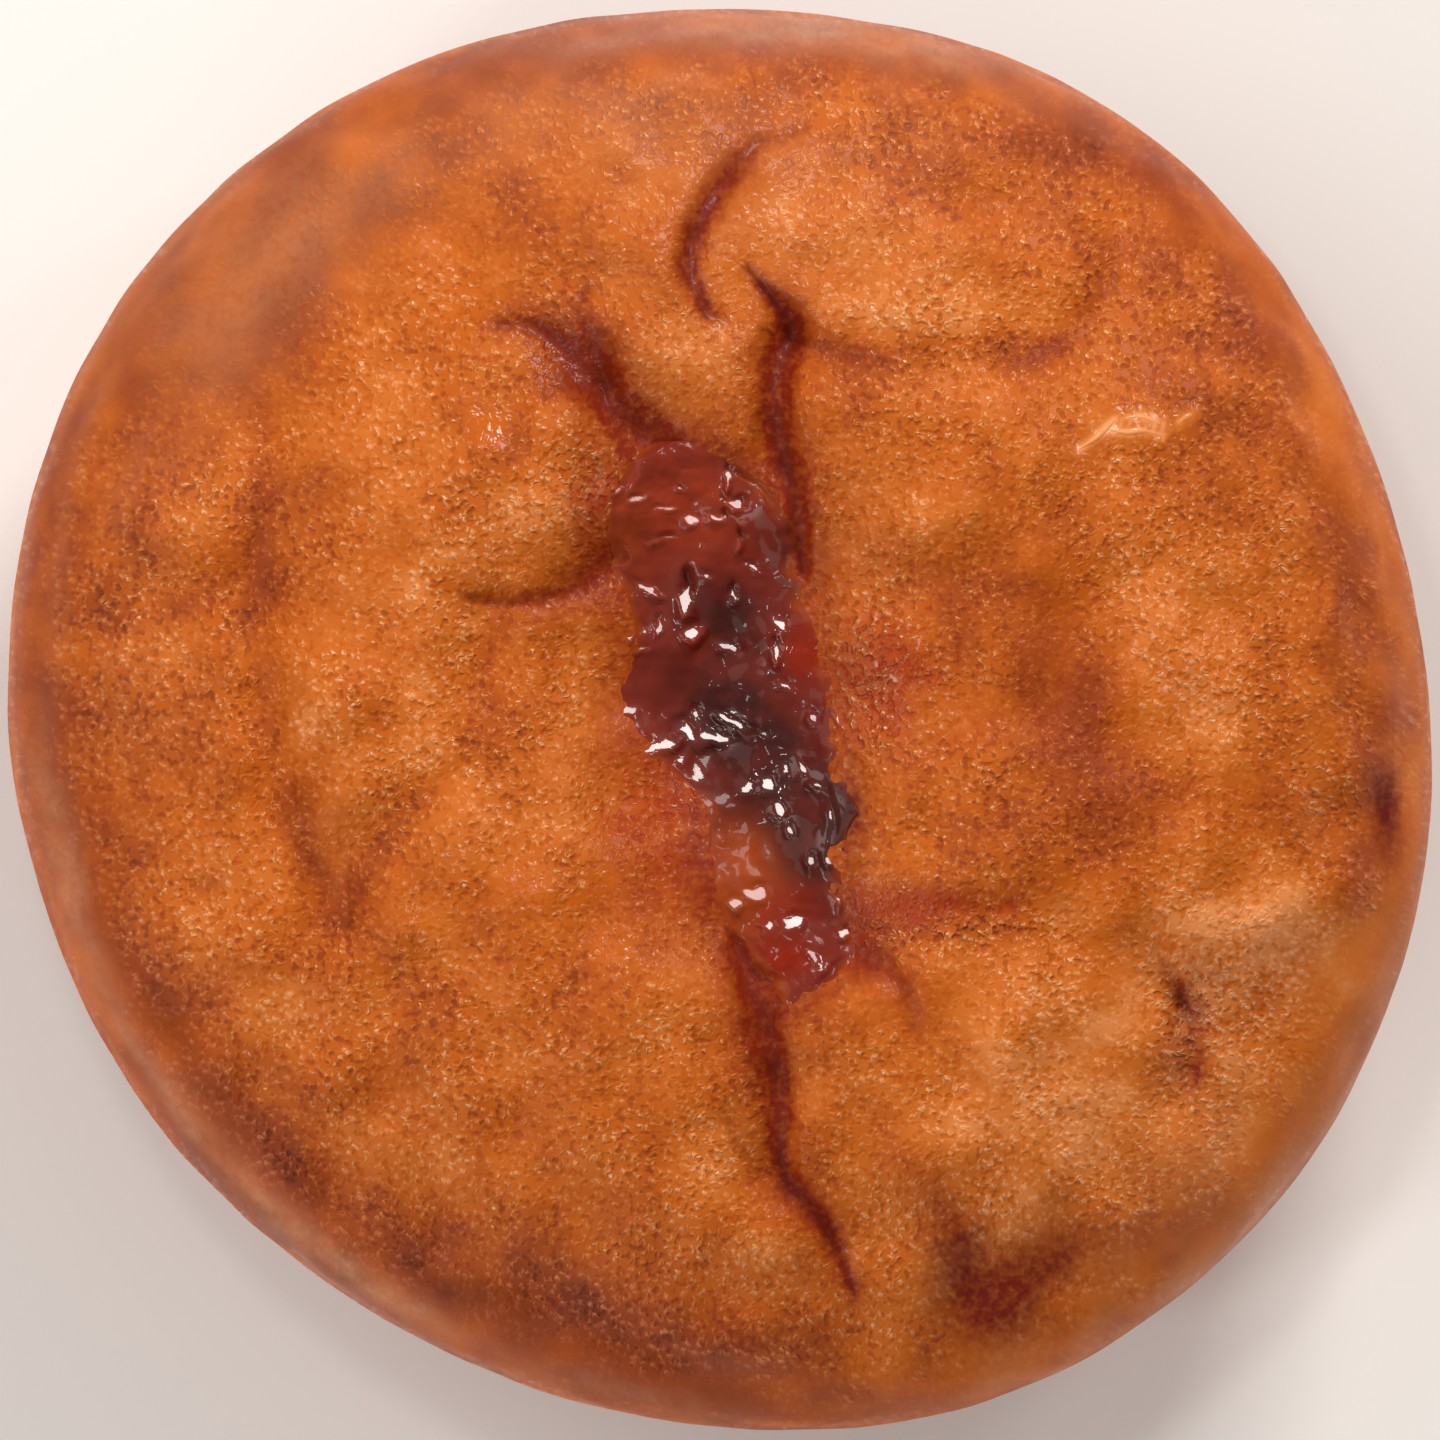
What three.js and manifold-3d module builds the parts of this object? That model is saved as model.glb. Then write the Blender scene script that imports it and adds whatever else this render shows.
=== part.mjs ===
// A jam doughnut that lies seam side up. It is a flattened ball of fried dough, plump round the
// rim and sunk in the middle, where the seam has burst along folds that run to the centre.
// Dark jam fills the split. Millimetres, +Z up, origin on the table under its middle;
// +X points right and +Y points up when it is seen from above.

import * as THREE from "three";
import { mergeVertices } from "three/addons/utils/BufferGeometryUtils.js";
import Module from "manifold-3d";

// Driving dimensions. The collar is drawn in, so the whole is about 1 mm narrower than the plain form.
const DIAMETER = 86;
const EQUATOR_HEIGHT = 18.5;
const CROWN_RISE = 21;
const BASE_DROP = 19.3;
const CROWN_ROUNDNESS = 2.5;
const BASE_ROUNDNESS = 2.6;
const CENTRE_DIP = { depth: 3.6, radius: 13 };
const COLLAR = { height: 11, recess: 0.35 };
const SPLIT_DEPTH = 16;
const SPLIT_TAPER = 4; // half width below which the split runs out
const SPLIT_SHOULDER = { width: 5, depth: 1.3 };
const SPLIT_MOUTH = { flare: 1.2, clear: 6 }; // how the cut opens above the jam
const JAM_SINK = 1.2;
const JAM_CROWN = 0.6;
const JAM_GAP = 0.3;
const FOLD_DEPTH_PER_WIDTH = 1.25;
const FOLD_SHOULDER = { width: 1.5, depth: 0.4 };
const FOLD_MOUTH = { flare: 0.6, clear: 2.5 };

// The rim seen from above: how far each wave round it stands out, as a share of the radius.
const RIM_WAVES = [
  { count: 1, share: 0.0125, phase: 37 },
  { count: 2, share: 0.022, phase: -91 },
  { count: 3, share: 0.0104, phase: 168 },
  { count: 4, share: 0.0066, phase: -171 },
  { count: 5, share: 0.0033, phase: -53 },
  { count: 6, share: 0.0026, phase: -32 },
];

// Plump lobes and shallow dents of the crown: where, how wide and how high.
const LOBES = [
  { at: [14, 28.5], radius: 8, height: 1.0 },
  { at: [-6, 26], radius: 6, height: 0.6 },
  { at: [-16, 14], radius: 7, height: 0.7 },
  { at: [-30, 13], radius: 5, height: 0.6 },
  { at: [-23, 1], radius: 5, height: 0.5 },
  { at: [-31, -11], radius: 6, height: 0.6 },
  { at: [-4, -19], radius: 6, height: 0.8 },
  { at: [2, -31], radius: 5, height: 0.6 },
  { at: [17, -21], radius: 9, height: 0.9 },
  { at: [28, 4], radius: 5, height: 0.8 },
  { at: [30, -11], radius: 5, height: 0.8 },
  { at: [12, 13], radius: 6, height: 0.5 },
  { at: [21, 1.5], radius: 7, height: -1.1 },
  { at: [16, -34], radius: 3.5, height: -1.2 },
  { at: [21, -30], radius: 3, height: -0.8 },
  { at: [39, -5], radius: 3, height: -1.0 },
  { at: [18, 21.5], radius: 3.5, height: -0.8 },
];

// Soft valleys of the crown, as points of their course, with their width and depth.
const VALLEYS = [
  { course: [[-26.5, 18], [-27, 9], [-26, -3], [-22.5, -11]], width: 4, depth: 0.9 },
  { course: [[-27, 9], [-31, 7], [-36, 5.5]], width: 3.5, depth: 0.6 },
  { course: [[-13, 6], [-14.5, -1], [-19, -6], [-22.5, -11]], width: 4.5, depth: 0.8 },
  { course: [[7, 21.5], [13, 21.8], [20, 22], [23, 26]], width: 4, depth: 0.8 },
  { course: [[8, -12], [14, -11.5], [20, -12]], width: 4, depth: 0.6 },
];

// Folds where the dough closed on itself, as points [x, y, width] of the slit.
const FOLDS = [
  [[5, 35, 0.8], [2.4, 33.2, 1.3], [-0.3, 30.4, 2.0], [-1.8, 27.4, 1.9], [-1.1, 24, 0.7]],
  [[2, 26.6, 0.8], [4.2, 23.2, 3.0], [3.4, 19.6, 2.5], [3.0, 16.6, 2.3], [4.2, 13, 2.4], [4.4, 9, 2.4]],
  [[-13, 23.6, 0.8], [-9.4, 22, 1.8], [-7, 20.4, 2.6], [-4.6, 17, 3.0], [-2.6, 14, 3.2]],
  [[-8.5, 26, 0.6], [-8.1, 23.6, 1.2], [-7.4, 21, 1.6]],
  [[-15.4, 7.3, 0.7], [-11.8, 7, 1.6], [-8.8, 8, 2.2], [-5, 10, 2.6]],
  [[1.4, -11.6, 3.2], [2.1, -15.6, 2.8], [3.2, -20, 2.7], [3.4, -24, 2.4], [5, -28.6, 1.8], [8, -34, 0.7]],
  [[0.4, -23.6, 0.6], [2.0, -26.2, 1.0], [4.4, -28, 1.2]],
  [[6.4, -12.6, 2.4], [9.4, -14.6, 1.6], [11.6, -17.2, 0.7]],
  [[26.6, -15, 0.7], [28.2, -18.8, 1.4], [28, -22.4, 0.6]],
];

// The split and the jam in it: points [x, y, half width] of its course.
const SPLIT = [
  [-4.4, 16.6, 1.6],
  [-2.2, 13.4, 4.6],
  [-1.4, 9.6, 5.6],
  [-0.4, 5, 5.4],
  [1.4, 0.2, 5.2],
  [3.2, -4.2, 4.9],
  [4.6, -8.6, 3.9],
  [3.8, -12.4, 3.0],
  [3.2, -14.8, 1.4],
];

// Sections from the lip down, as shares of the width across and of the depth.
const FOLD_SECTION = [[0.5, 0], [0.22, -0.6], [-0.1, -1], [-0.35, -0.55], [-0.5, 0]];
const SPLIT_WALL = [[1, 0], [0.94, -0.35], [0.78, -0.7], [0.42, -0.95]];

// Unevenness of the crust, of the split's lips and of the jam: how many waves, how long and how high.
const CRUST_ROLLS = { waves: 12, shortest: 16, longest: 34, height: 0.35 };
const CRUST_BLISTERS = { waves: 22, shortest: 4.2, longest: 7.5, height: 0.17 };
const LIP_WAVES = { waves: 9, shortest: 4.5, longest: 10, height: 0.55 };
const JAM_LUMPS = { waves: 16, shortest: 2.8, longest: 6.5, height: 0.6 };
// The rim was smoothed by the oil it floated in: a share of the unevenness is left at the equator.
const RIM_CALM = { left: 0.25, height: 13 };

// How the waves differ from each other: the step between their lengths and between their phases.
const WAVE_STRIDE = 7;
const WAVE_PHASE = 1.7;

// How finely the surfaces are divided, and where the rings lie as shares of the rim's radius
const AROUND = 100;
const CROWN_RINGS = 22;
const SIDE_RINGS = 11;
const BASE_RINGS = 6;
const INNER_CROWN = 0.08;
const SHOULDER = 0.9;
const INNER_BASE = 0.3;
const FOLD_STEPS = 14;
const SPLIT_STEPS = 36;
const JAM_ACROSS = 14;

const MEAN_RADIUS = DIAMETER / 2;
const GOLDEN_ANGLE = Math.PI * (3 - Math.sqrt(5));

// Sums waves that run in directions spread evenly over a sphere, so that no pattern repeats.
function unevenness([x, y, z], { waves, shortest, longest, height }) {
  let sum = 0;
  for (let i = 0; i < waves; i += 1) {
    const up = 1 - (2 * i + 1) / waves;
    const out = Math.sqrt(1 - up * up);
    const turn = i * GOLDEN_ANGLE;
    const along = x * out * Math.cos(turn) + y * out * Math.sin(turn) + z * up;
    const length = shortest + (longest - shortest) * (((i * WAVE_STRIDE) % waves) / waves);
    sum += Math.cos((2 * Math.PI * along) / length + WAVE_PHASE * i);
  }
  return (height * sum) / Math.sqrt(waves / 2);
}

function rimRadius(angle) {
  const waves = RIM_WAVES.map(
    ({ count, share, phase }) => share * Math.cos(count * angle - THREE.MathUtils.degToRad(phase)),
  );
  return MEAN_RADIUS * waves.reduce((sum, wave) => sum + wave, 1);
}

function distanceToCourse(x, y, course) {
  let nearest = Infinity;
  for (let i = 1; i < course.length; i += 1) {
    const [ax, ay] = course[i - 1];
    const [dx, dy] = [course[i][0] - ax, course[i][1] - ay];
    const t = THREE.MathUtils.clamp(((x - ax) * dx + (y - ay) * dy) / (dx * dx + dy * dy), 0, 1);
    nearest = Math.min(nearest, Math.hypot(x - ax - t * dx, y - ay - t * dy));
  }
  return nearest;
}

const bell = (distance, width) => Math.exp(-((distance / width) ** 2));

// How far the crown stands out of the plain form over a point of the table.
function crownRelief(x, y) {
  let out = -CENTRE_DIP.depth * bell(Math.hypot(x, y), CENTRE_DIP.radius);
  for (const { at, radius, height } of LOBES) {
    out += height * bell(Math.hypot(x - at[0], y - at[1]), radius);
  }
  for (const { course, width, depth } of VALLEYS) {
    out -= depth * bell(distanceToCourse(x, y, course), width / 2);
  }
  for (const fold of FOLDS) {
    const widest = Math.max(...fold.map((point) => point[2]));
    out -= FOLD_SHOULDER.depth * widest * bell(distanceToCourse(x, y, fold), FOLD_SHOULDER.width * widest);
  }
  return out - SPLIT_SHOULDER.depth * bell(distanceToCourse(x, y, SPLIT), SPLIT_SHOULDER.width);
}

// How far the crust stands out of the plain form at any point of it.
function relief([x, y, z]) {
  const off = Math.abs(z - EQUATOR_HEIGHT);
  const calm = RIM_CALM.left + (1 - RIM_CALM.left) * Math.min(1, off / RIM_CALM.height) ** 2;
  const rough = unevenness([x, y, z], CRUST_ROLLS) + unevenness([x, y, z], CRUST_BLISTERS);
  const collar = COLLAR.recess / (1 + (off / (COLLAR.height / 2)) ** 8);
  const crown = z > EQUATOR_HEIGHT ? crownRelief(x, y) : 0;
  return calm * (rough + crown) - collar;
}

// A point of the plain form: a superellipse turned inside the rim. Reach runs from 0 at the
// middle of the crown over 1 at the equator to 2 at the middle of the base.
function plainPoint(angle, reach) {
  const crown = reach <= 1;
  const power = crown ? CROWN_ROUNDNESS : BASE_ROUNDNESS;
  const rise = crown ? CROWN_RISE : -BASE_DROP;
  const turn = (Math.min(reach, 2 - reach) * Math.PI) / 2;
  const radius = rimRadius(angle) * Math.sin(turn) ** (2 / power);
  const height = EQUATOR_HEIGHT + rise * Math.max(0, Math.cos(turn)) ** (2 / power);
  return new THREE.Vector3(radius * Math.cos(angle), radius * Math.sin(angle), height);
}

// The reach at which the plain form has a share of the rim's radius.
const reachAtShare = (share, power) => (Math.asin(share ** (power / 2)) * 2) / Math.PI;

function crustPoint(angle, reach) {
  const step = 0.002;
  const point = plainPoint(angle, reach);
  const nearer = Math.min(Math.max(reach, 2 * step), 2 - 2 * step);
  const along = plainPoint(angle, nearer + step).sub(plainPoint(angle, nearer - step));
  const around = plainPoint(angle + step, nearer).sub(plainPoint(angle - step, nearer));
  const outward = along.cross(around).normalize();
  point.addScaledVector(outward, relief(point.toArray()));
  point.z = Math.max(0, point.z);
  return point;
}

// Height of the crown over a point of the table, up to just inside the rim.
function crownHeight(x, y) {
  const farthest = 0.98;
  const share = Math.min(farthest, Math.hypot(x, y) / rimRadius(Math.atan2(y, x)));
  const plain = EQUATOR_HEIGHT + CROWN_RISE * (1 - share ** CROWN_ROUNDNESS) ** (1 / CROWN_ROUNDNESS);
  return plain + relief([x, y, plain]);
}

// A closed geometry from rings of points, each ring run the same way and its ends fanned shut.
function closedGeometry(rings) {
  const count = rings[0].length;
  const middle = (ring) => ring.reduce((sum, p) => sum.add(p), new THREE.Vector3()).divideScalar(count);
  const points = [...rings.flat(), middle(rings[0]), middle(rings.at(-1))];
  const [first, last] = [points.length - 2, points.length - 1];
  const faces = [];
  for (let k = 0; k < count; k += 1) {
    const next = (k + 1) % count;
    faces.push(first, k, next);
    for (let j = 0; j < rings.length - 1; j += 1) {
      const [a, b] = [j * count + k, j * count + next];
      faces.push(a, a + count, b, b, a + count, b + count);
    }
    faces.push(last, (rings.length - 1) * count + next, (rings.length - 1) * count + k);
  }
  const geometry = new THREE.BufferGeometry().setFromPoints(points);
  geometry.setIndex(faces);
  return geometry;
}

function bodyGeometry() {
  const reaches = [];
  for (let j = 1; j <= CROWN_RINGS; j += 1) {
    const share = INNER_CROWN + (SHOULDER - INNER_CROWN) * (j / CROWN_RINGS);
    reaches.push(reachAtShare(share, CROWN_ROUNDNESS));
  }
  const sideStart = reaches.at(-1);
  const sideEnd = 2 - reachAtShare(SHOULDER, BASE_ROUNDNESS);
  for (let j = 1; j <= SIDE_RINGS; j += 1) {
    reaches.push(sideStart + ((sideEnd - sideStart) * j) / SIDE_RINGS);
  }
  for (let j = 1; j <= BASE_RINGS; j += 1) {
    const share = SHOULDER + (INNER_BASE - SHOULDER) * (j / BASE_RINGS);
    reaches.push(2 - reachAtShare(share, BASE_ROUNDNESS));
  }
  const rings = reaches.map((reach) =>
    Array.from({ length: AROUND }, (_, k) => crustPoint((2 * Math.PI * k) / AROUND, reach)),
  );
  return closedGeometry(rings);
}

// Stations along a course of [x, y, size] points: the place, the size and the sideways direction.
function stations(course, steps) {
  const curve = new THREE.CatmullRomCurve3(course.map(([x, y, size]) => new THREE.Vector3(x, y, size)));
  return Array.from({ length: steps + 1 }, (_, i) => {
    const { x, y, z: size } = curve.getPoint(i / steps);
    const heading = curve.getTangent(i / steps);
    const side = new THREE.Vector2(-heading.y, heading.x).normalize();
    return { x, y, size, side };
  });
}

// The tool that cuts a section into the crust at a station: the section, and its mouth above.
function cuttingRing({ x, y, side }, section, level, { flare, clear }) {
  const open = [...section, [section.at(-1)[0] - flare, clear], [section[0][0] + flare, clear]];
  return open.map(([across, up]) => new THREE.Vector3(x + side.x * across, y + side.y * across, level + up));
}

// A slit that narrows from its lips to the fold's floor.
function foldGeometry(fold) {
  const rings = stations(fold, FOLD_STEPS).map((station) => {
    const { x, y, size } = station;
    const section = FOLD_SECTION.map(([across, up]) => [across * size, up * FOLD_DEPTH_PER_WIDTH * size]);
    return cuttingRing(station, section, crownHeight(x, y), FOLD_MOUTH);
  });
  return closedGeometry(rings);
}

// The split's section below its lips, from the right lip over the floor to the left one. Each lip
// wanders to and fro by itself. A gap draws the section in on all sides.
function splitSection({ x, y, size, side }, gap) {
  const narrowest = 0.5;
  const fullness = Math.min(1, size / SPLIT_TAPER);
  const depth = SPLIT_DEPTH * fullness - gap;
  const lip = (sign) => {
    const [px, py] = [x + sign * size * side.x, y + sign * size * side.y];
    return Math.max(narrowest, size + fullness * unevenness([px, py, 0], LIP_WAVES) - gap);
  };
  const [right, left] = [lip(1), lip(-1)];
  return [
    ...SPLIT_WALL.map(([across, up]) => [across * right, up * depth]),
    [0, -depth],
    ...SPLIT_WALL.map(([across, up]) => [-across * left, up * depth]).reverse(),
  ];
}

function splitGeometry() {
  const rings = stations(SPLIT, SPLIT_STEPS).map((station) => {
    const level = crownHeight(station.x, station.y) - JAM_SINK;
    return cuttingRing(station, splitSection(station, 0), level, SPLIT_MOUTH);
  });
  return closedGeometry(rings);
}

// The jam: the split's own section below, and a lumpy wet face on top.
function jamGeometry() {
  const course = stations(SPLIT, SPLIT_STEPS).slice(1, -1);
  const rings = course.map((station) => {
    const { x, y, side } = station;
    const level = crownHeight(x, y) - JAM_SINK;
    const lower = splitSection(station, JAM_GAP);
    const place = (across, z) => new THREE.Vector3(x + side.x * across, y + side.y * across, z);
    const floor = lower.map(([across, up]) => place(across, level + up));
    const face = Array.from({ length: JAM_ACROSS - 1 }, (_, k) => {
      const share = -1 + (2 * (k + 1)) / JAM_ACROSS;
      const p = place(share < 0 ? -share * lower.at(-1)[0] : share * lower[0][0], 0);
      const crest = Math.sqrt(1 - share ** 2);
      p.z = level + crest * (JAM_CROWN + unevenness([p.x, p.y, 0], JAM_LUMPS));
      return p;
    });
    return [...floor, ...face];
  });
  return closedGeometry(rings);
}

const wasm = await Module();
wasm.setup();

function solid(geometry) {
  const merged = mergeVertices(geometry, 1e-4);
  return new wasm.Manifold(
    new wasm.Mesh({
      numProp: 3,
      vertProperties: merged.attributes.position.array,
      triVerts: new Uint32Array(merged.index.array),
    }),
  );
}

function geometryOf(made) {
  const mesh = made.getMesh();
  const geometry = new THREE.BufferGeometry();
  geometry.setAttribute("position", new THREE.BufferAttribute(mesh.vertProperties, 3));
  geometry.setIndex(new THREE.BufferAttribute(mesh.triVerts, 1));
  geometry.computeVertexNormals();
  return geometry;
}

function doughGeometry() {
  let dough = solid(bodyGeometry()).subtract(solid(splitGeometry()));
  for (const fold of FOLDS) {
    dough = dough.subtract(solid(foldGeometry(fold)));
  }
  return geometryOf(dough);
}

const crust = new THREE.MeshStandardMaterial({ color: "#bf6a2c", roughness: 0.4, metalness: 0 });
const jamGel = new THREE.MeshStandardMaterial({ color: "#4d1a14", roughness: 0.12, metalness: 0 });

const doughnut = new THREE.Group();

const dough = new THREE.Mesh(doughGeometry(), crust);
dough.name = "dough";
doughnut.add(dough);

const jam = new THREE.Mesh(jamGeometry(), jamGel);
jam.name = "jam";
doughnut.add(jam);

export default doughnut;
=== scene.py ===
import math
import bpy
import numpy as np
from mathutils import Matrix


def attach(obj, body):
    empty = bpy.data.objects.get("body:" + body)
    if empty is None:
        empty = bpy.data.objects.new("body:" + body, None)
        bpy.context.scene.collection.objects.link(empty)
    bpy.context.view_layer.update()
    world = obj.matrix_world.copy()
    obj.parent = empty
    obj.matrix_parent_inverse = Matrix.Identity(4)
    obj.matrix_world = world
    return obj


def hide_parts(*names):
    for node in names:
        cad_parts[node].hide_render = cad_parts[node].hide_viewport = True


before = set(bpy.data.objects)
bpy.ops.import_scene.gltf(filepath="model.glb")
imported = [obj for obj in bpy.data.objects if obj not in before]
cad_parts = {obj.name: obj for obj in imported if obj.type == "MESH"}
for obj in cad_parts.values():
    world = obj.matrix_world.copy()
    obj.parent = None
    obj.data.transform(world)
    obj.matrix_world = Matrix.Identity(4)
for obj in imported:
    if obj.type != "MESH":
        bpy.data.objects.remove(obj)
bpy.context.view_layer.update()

mm = 0.001
goldenAngle = math.pi * (3 - math.sqrt(5))

# The camera looks straight down, and the lens frames the doughnut as tightly as the picture does.
camera = {
    "height": 1600.0,  # mm above the table
    "aim": (0.06, -0.04),  # mm, so that the outline sits where it does in the picture
    "frameWidth": 85.6,  # mm of the rim's level that the square picture takes in
    "rimLevel": 20.0,  # mm above the table
    "sensor": 36.0,
}

# Soft studio light: where each lamp hangs (mm), how wide it is (mm), its strength (W) and colour.
lamps = {
    "topSoftbox": {"at": (217, 505, 376), "size": 200, "power": 2.96, "colour": "#fffaf4"},
    "leftSoftbox": {"at": (-450, 230, 420), "size": 400, "power": 1.0, "colour": "#fff8f2"},
    "lowFill": {"at": (-420, -460, 300), "size": 460, "power": 1.4, "colour": "#fff4ee"},
    "lowSpark": {"at": (-361, -208, 452), "size": 70, "power": 0.38, "colour": "#ffffff"},
    "rightSpark": {"at": (390, 270, 460), "size": 80, "power": 0.32, "colour": "#ffffff"},
    "overheadSpark": {"at": (-60, 110, 600), "size": 48, "power": 0.3, "colour": "#ffffff"},
}
room = {"colour": "#fffaf6", "strength": 0.26, "floor": 3000.0}  # the floor's width in mm


def sRgb(hexColour):
    # Each channel of an sRGB hex colour, turned to linear light.
    channels = [int(hexColour[i:i + 2], 16) / 255 for i in (1, 3, 5)]
    return tuple(c / 12.92 if c <= 0.04045 else ((c + 0.055) / 1.055) ** 2.4 for c in channels) + (1.0,)


def bell(distance, width):
    # 1 at no distance, and exp(-1) at one width.
    return np.exp(-((distance / width) ** 2))


def ease(t):
    # 0 below 0, 1 above 1, and a smooth S between.
    t = np.clip(t, 0, 1)
    return t * t * (3 - 2 * t)


def unevenness(x, y, z, waves, shortest, longest, height):
    # Sum of plane waves whose directions spiral evenly over a sphere, each with a length of its own.
    total = np.zeros_like(x)
    for i in range(waves):
        up = 1 - (2 * i + 1) / waves
        out = math.sqrt(1 - up * up)
        turn = i * goldenAngle
        along = x * out * math.cos(turn) + y * out * math.sin(turn) + z * up
        length = shortest + (longest - shortest) * ((i * 7 % waves) / waves)
        total += np.cos(2 * math.pi * along / length + 1.7 * i)
    return height * total / math.sqrt(waves / 2)


def cellRandom(i, j, k, seed):
    # A number from 0 to 1 for each whole-number cell, mixed from its three indices and the seed.
    mixed = (i * 374761393 + j * 668265263 + k * 974634777 + seed * 144664601) & 0xffffffff
    mixed = ((mixed ^ (mixed >> 13)) * 1274126177) & 0xffffffff
    mixed = ((mixed ^ (mixed >> 15)) * 1103515245) & 0xffffffff
    return (mixed ^ (mixed >> 16)) / 4294967296.0


def softNoise(x, y, z, size, seed):
    # Value noise from -1 to 1: random corner values of cells, blended smoothly across each cell.
    base = [np.floor(c / size).astype(np.int64) for c in (x, y, z)]
    part = [ease(c / size - b) for c, b in zip((x, y, z), base)]
    total = np.zeros_like(x)
    for corner in range(8):
        step = [corner & 1, corner >> 1 & 1, corner >> 2 & 1]
        weight = np.ones_like(x)
        for s, p in zip(step, part):
            weight = weight * (p if s else 1 - p)
        total += weight * cellRandom(base[0] + step[0], base[1] + step[1], base[2] + step[2], seed)
    return 2 * total - 1


def layered(x, y, z, layers, level=0):
    # The level plus the amount of each layer times its soft noise: size in mm, amount, seed.
    return sum((amount * softNoise(x, y, z, size, seed) for size, amount, seed in layers), level)


def nearestSeeds(x, y, z, size, seed):
    # Distance to the nearest of one random seed per cell, in cells, and that seed's luck from 0 to 1.
    base = [np.floor(c / size).astype(np.int64) for c in (x, y, z)]
    nearest = np.full(x.shape, 9.0)
    luck = np.zeros_like(x)
    for n in range(27):
        cell = [b + s for b, s in zip(base, (n % 3 - 1, n // 3 % 3 - 1, n // 9 - 1))]
        away = np.zeros_like(x)
        for axis, c in enumerate((x, y, z)):
            away += (cell[axis] + cellRandom(*cell, seed + axis) - c / size) ** 2
        away = np.sqrt(away)
        luck = np.where(away < nearest, cellRandom(*cell, seed + 3), luck)
        nearest = np.minimum(nearest, away)
    return nearest, luck


def smoothCourse(course, steps):
    # Catmull-Rom curve through the course's points, which carries their widths along.
    points = np.array(course, float)
    padded = np.vstack([2 * points[0] - points[1], points, 2 * points[-1] - points[-2]])
    at = np.linspace(0, len(points) - 1, steps + 1)
    i = np.minimum(at.astype(int), len(points) - 2)
    t = (at - i)[:, None]
    a, b, c, d = padded[i], padded[i + 1], padded[i + 2], padded[i + 3]
    bent, twisted = 2 * a - 5 * b + 4 * c - d, 3 * b - a - 3 * c + d
    return 0.5 * (2 * b + (c - a) * t + bent * t ** 2 + twisted * t ** 3)


def followCourse(x, y, course, steps=20):
    # Distance to the nearest point of the smoothed course, and the course's width there.
    path = smoothCourse(course, steps)
    nearest = np.full(x.shape, 1e9)
    width = np.zeros_like(x)
    for a, b in zip(path[:-1], path[1:]):
        dx, dy = b[0] - a[0], b[1] - a[1]
        t = np.clip(((x - a[0]) * dx + (y - a[1]) * dy) / (dx * dx + dy * dy), 0, 1)
        away = np.hypot(x - a[0] - t * dx, y - a[1] - t * dy)
        width = np.where(away < nearest, a[2] + t * (b[2] - a[2]), width)
        nearest = np.minimum(nearest, away)
    return nearest, width


def ovalReach(x, y, px, py, long, wide, turn=0):
    # Squared distance from an oval's middle, in half lengths and half widths.
    c, s = math.cos(math.radians(turn)), math.sin(math.radians(turn))
    u = ((x - px) * c + (y - py) * s) / long
    v = ((y - py) * c - (x - px) * s) / wide
    return u * u + v * v


def ovals(x, y, patches):
    # Sum of soft ovals, each its amount times exp(-reach): x, y, half length, half width, amount, turn.
    total = np.zeros_like(x)
    for px, py, long, wide, amount, *turn in patches:
        total += amount * np.exp(-ovalReach(x, y, px, py, long, wide, *turn))
    return total


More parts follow.
